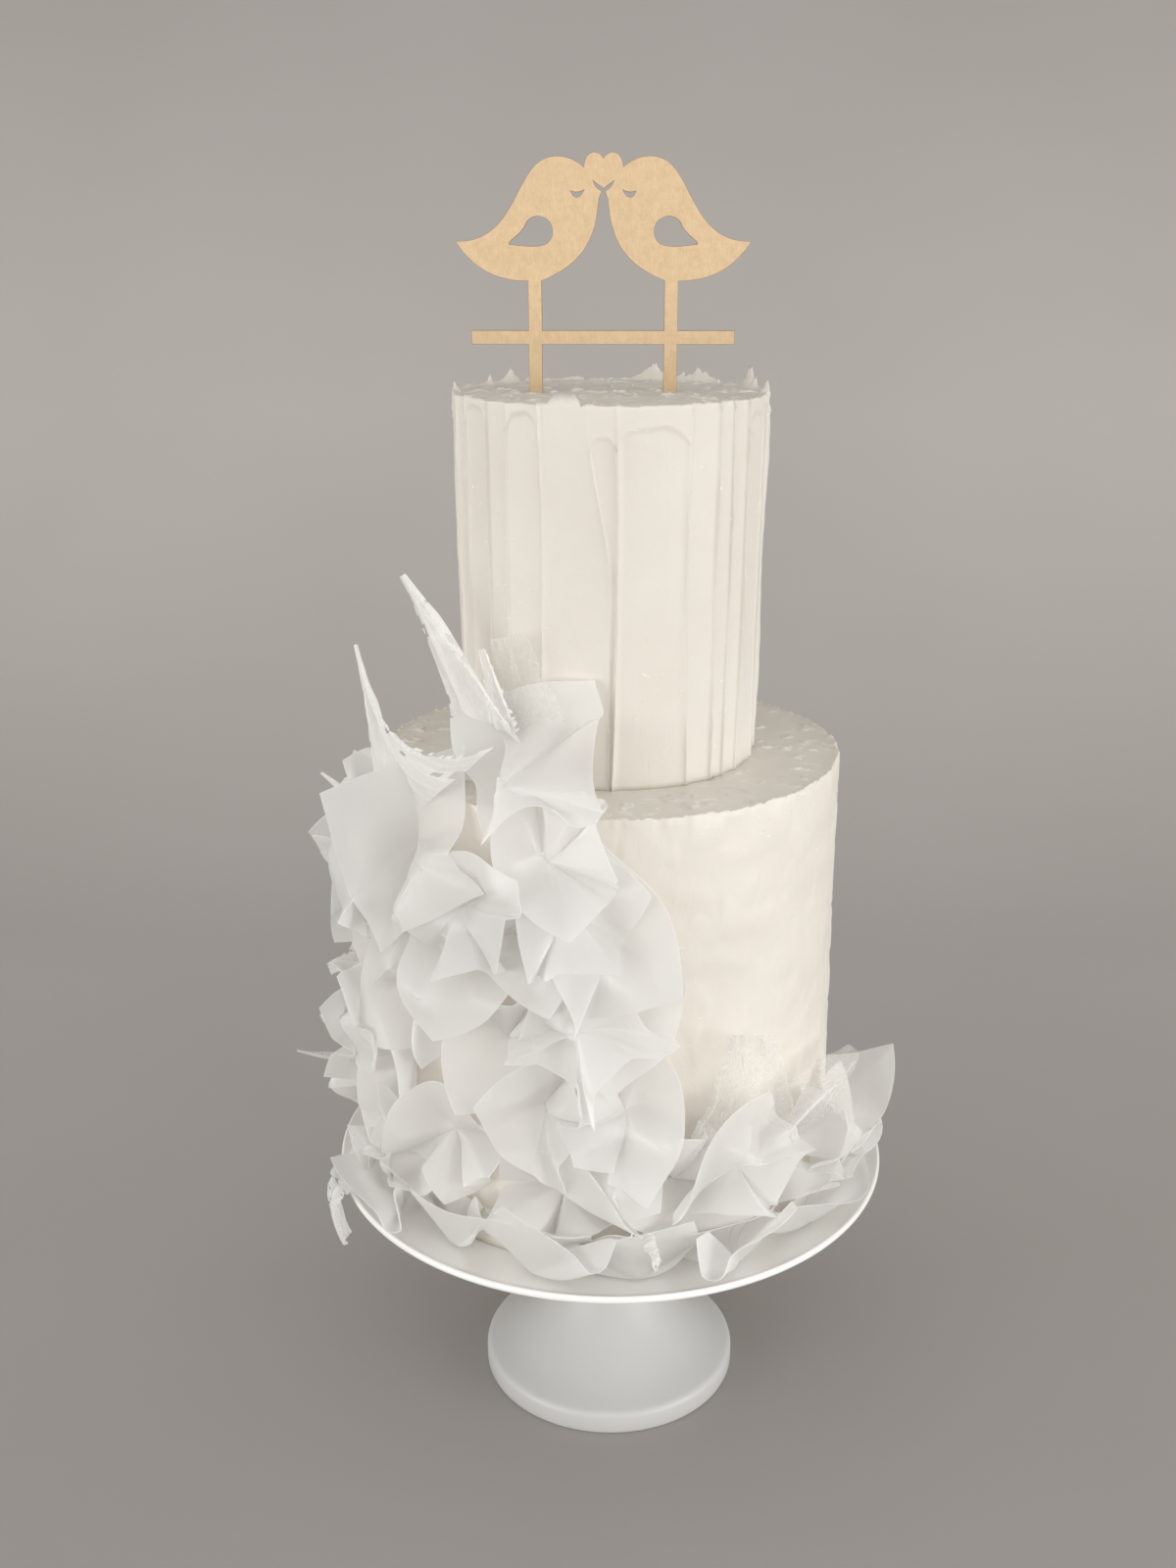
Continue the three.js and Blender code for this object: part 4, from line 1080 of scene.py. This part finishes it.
def folded_square(sheet, number, row, pile, material):
    """A square of wafer paper, pinched at its middle so that it stands in three lobes."""
    piece = sheet.copy()
    piece.data = sheet.data.copy()
    bpy.context.scene.collection.objects.link(piece)
    points = points_of(piece)
    angle = np.arctan2(points[:, 1], points[:, 0]) % TURN
    ring = np.round(np.hypot(points[:, 0], points[:, 1]) * PAPER_RINGS).astype(int)
    spoke = np.round(angle / TURN * PAPER_COLUMNS).astype(int) % PAPER_COLUMNS
    grid = laid(square_grid(row, number), pile)
    put_points(piece, grid[ring, spoke])
    thicken(piece, "paper", PAPER_THICKNESS)
    finished(piece, f"wafer_square_{number}", material, "wafer_paper", f"wafer_{number}")
    bpy.ops.object.shade_smooth_by_angle(angle=CREASE * DEGREE)


# Rice paper


def sail(number, row, material):
    """A crinkled sail of rice paper, torn along its edges."""
    foot, tip, bow, width, narrowing, crinkle = row
    bpy.ops.mesh.primitive_grid_add(
        x_subdivisions=SAIL_COLUMNS, y_subdivisions=SAIL_ROWS, size=2 * MM, location=(0, 0, 0)
    )
    piece = bpy.context.object
    flat = points_of(piece)
    over, along = flat[:, 0], (flat[:, 1] + 1) / 2
    seed = number * 5.3

    def middle(share):
        arch = 4 * share * (1 - share)
        azimuth = mix(foot[0], tip[0], share) * DEGREE
        radius = mix(foot[2], tip[2], share) + bow[0] * arch
        return polar(azimuth, radius, mix(foot[1], tip[1], share) + bow[1] * arch)

    spine = middle(along)
    ahead = unit(middle(along + 0.02) - middle(along - 0.02))
    out = unit(spine * (1, 1, 0))
    out[np.abs(np.sum(ahead * out, axis=1)) > 0.8] = (0, 0, 1)
    across = unit(np.cross(ahead, out))
    facing = np.cross(across, ahead)
    half = mix(width[1], width[0], (1 - along) ** narrowing) / 2
    half = half * (1 + 0.12 * ripple(np.sign(over), along * 5, seed))
    pleat = ripple(over * 1.7, along * 0.5, seed + 4) + 0.35 * ripple(over * 5, along * 1.3, seed + 9)
    small = ripple(over * 9, along * 7, seed + 6)
    lift = crinkle * (1.4 * pleat + 0.2 * small) * np.minimum(1, half / 6)
    aside = half * (over + 0.35 * (1 - along))
    shape = spine + aside[:, None] * across + lift[:, None] * facing
    put_points(piece, settle(shape))
    corners = [list(face.vertices) for face in piece.data.polygons]
    over, along = (np.array([values[c].mean() for c in corners]) for values in (over, along))
    reach = np.array([half[c].mean() for c in corners])
    torn = 0.3 * ripple(over * 2, along * 11, seed + 2) + 0.3 * ripple(over * 9, along * 40, seed)
    left = over + torn < -1.05
    deep = TEAR_REACH * np.minimum(1, reach / TEAR_REACH) * np.abs(torn)
    right = (over - 1) * reach + deep > 0
    lacy = (over > 0.35) & (number not in FILM_SAILS)
    holes = (ripple(over * 4, along * 16, seed + 11) > 0.34) & lacy
    select(piece, "FACE", left | right | holes)
    bpy.ops.mesh.delete(type="FACE")
    bpy.ops.object.mode_set(mode="OBJECT")
    thicken(piece, "film", FILM_THICKNESS)
    finished(piece, f"rice_sail_{number}", material, "rice_paper", f"rice_{number}")
    bpy.ops.object.shade_smooth_by_angle(angle=CREASE * DEGREE)


# Studio


def studio():
    """A grey paper sweep, a low soft light on each side, stronger on the right, and a pale sky; the
    sweep is painted darker up its wall and towards the front of its floor, as painted shade.
    """
    bpy.ops.mesh.primitive_plane_add(size=1, location=(0, 0, 0))
    floor = bpy.context.object
    floor.name = "floor"
    floor.scale = (9, 5.2, 1)
    floor.location = (0, -0.9, 0)
    bpy.ops.object.transform_apply(location=True, rotation=True, scale=True)
    ends = edge_ends(floor)
    select(floor, "EDGE", (ends[:, :, 1] > 1000).all(axis=1))
    bpy.ops.mesh.extrude_edges_move(TRANSFORM_OT_translate={"value": (0, 0, 3.2)})
    bpy.ops.object.mode_set(mode="OBJECT")
    ends = edge_ends(floor)
    corner = (ends[:, :, 1] > 1000).all(axis=1) & (ends[:, :, 2] < 1).all(axis=1)
    select(floor, "EDGE", corner)
    bpy.ops.mesh.bevel(offset=1.1, segments=24)
    bpy.ops.object.mode_set(mode="OBJECT")
    bpy.ops.object.shade_smooth()
    finish = Finish("paper sweep")
    cloud = finish.ramp(finish.noise(1.6, 3), (0.3, (0.41, 0.385, 0.362)), (0.7, (0.44, 0.415, 0.395)))
    # Painted shade: the wall is painted darker higher up.
    painted_shade = finish.ramp(finish.math("MULTIPLY", finish.part("Z"), 0.5), (0.2, 1.0), (0.8, 0.6))
    # Painted shade: the floor is painted darker towards the front.
    near = finish.ramp(finish.math("ADD", finish.part("Y"), 0.5), (0.3, 0.86), (1.0, 1.0))
    paper = finish.blend(1.0, finish.blend(1.0, cloud, painted_shade, "MULTIPLY"), near, "MULTIPLY")
    finish.set(Base_Color=paper, Roughness=0.9)
    floor.data.materials.append(finish.material)
    soft_light((2.7, -1.6, 0.35), (2.6, 1.6), 68)
    soft_light((-2.4, -1.8, 0.35), (2.4, 1.6), 46)
    world = bpy.data.worlds.new("studio air")
    bpy.context.scene.world = world
    world.use_nodes = True
    air = world.node_tree.nodes["Background"]
    around = world.node_tree.nodes.new("ShaderNodeTexCoord")
    height = world.node_tree.nodes.new("ShaderNodeSeparateXYZ")
    world.node_tree.links.new(around.outputs["Generated"], height.inputs[0])
    sky = world.node_tree.nodes.new("ShaderNodeValToRGB")
    tones = ((0.15, (1, 0.985, 0.965, 1)), (0.9, (0.64, 0.635, 0.625, 1)))
    for element, (where, colour) in zip(sky.color_ramp.elements, tones):
        element.position, element.color = where, colour
    world.node_tree.links.new(height.outputs["Z"], sky.inputs["Fac"])
    world.node_tree.links.new(sky.outputs["Color"], air.inputs["Color"])
    air.inputs["Strength"].default_value = 1.04
    bpy.context.scene.view_settings.view_transform = "Standard"


def soft_light(place, size, power):
    aim = (LIGHT_AIM - Vector(place)).to_track_quat("-Z", "Y").to_euler()
    bpy.ops.object.light_add(type="AREA", location=place, rotation=aim)
    light = bpy.context.object.data
    light.shape = "RECTANGLE"
    light.size, light.size_y = size
    light.energy = power


def camera():
    tilt = (math.pi / 2 - CAMERA_DOWN, 0, CAMERA_ROLL)
    bpy.ops.object.camera_add(location=CAMERA_PLACE, rotation=tilt)
    seen = bpy.context.object
    seen.data.sensor_width = SENSOR
    seen.data.lens = FOCAL_LENGTH
    bpy.context.scene.camera = seen


def build():
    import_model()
    camera()
    studio()
    gloss = enamel("gloss enamel", (0.97, 0.96, 0.93), 0.16, 0.5)
    # The foot has the plate's off-white enamel. Its grey colour is painted shade, for the foot standing
    # in the plate's shadow. Its satin gloss is its own.
    shaded_satin = enamel("satin enamel", (0.59, 0.59, 0.575), 0.42, 0.0)
    stand_plate(gloss)
    stand_foot(shaded_satin)
    # The top tier's cream is the bottom tier's at 0.93 times the brightness: painted shade.
    top_tier(buttercream("buttercream drawn upwards", (140, 140, 7), 0.93))
    bottom_tier(buttercream("buttercream smoothed round", (45, 45, 60), 1.0))
    topper(kraft_board(), scorched_edge())
    wafer = wafer_paper()
    sheet = flat_sheet()
    pile = Pile()
    for number in range(len(SQUARES), 0, -1):
        folded_square(sheet, number, SQUARES[number - 1], pile, wafer)
    bpy.data.objects.remove(sheet)
    torn = rice_paper("rice paper", (0.97, 0.965, 0.95), 0.1, 0.35, 0.35)
    film = rice_paper("thin rice paper", (0.88, 0.87, 0.845), 0.76, 0.9, 0.1)
    for number, row in enumerate(SAILS, 1):
        sail(number, row, film if number in FILM_SAILS else torn)


build()
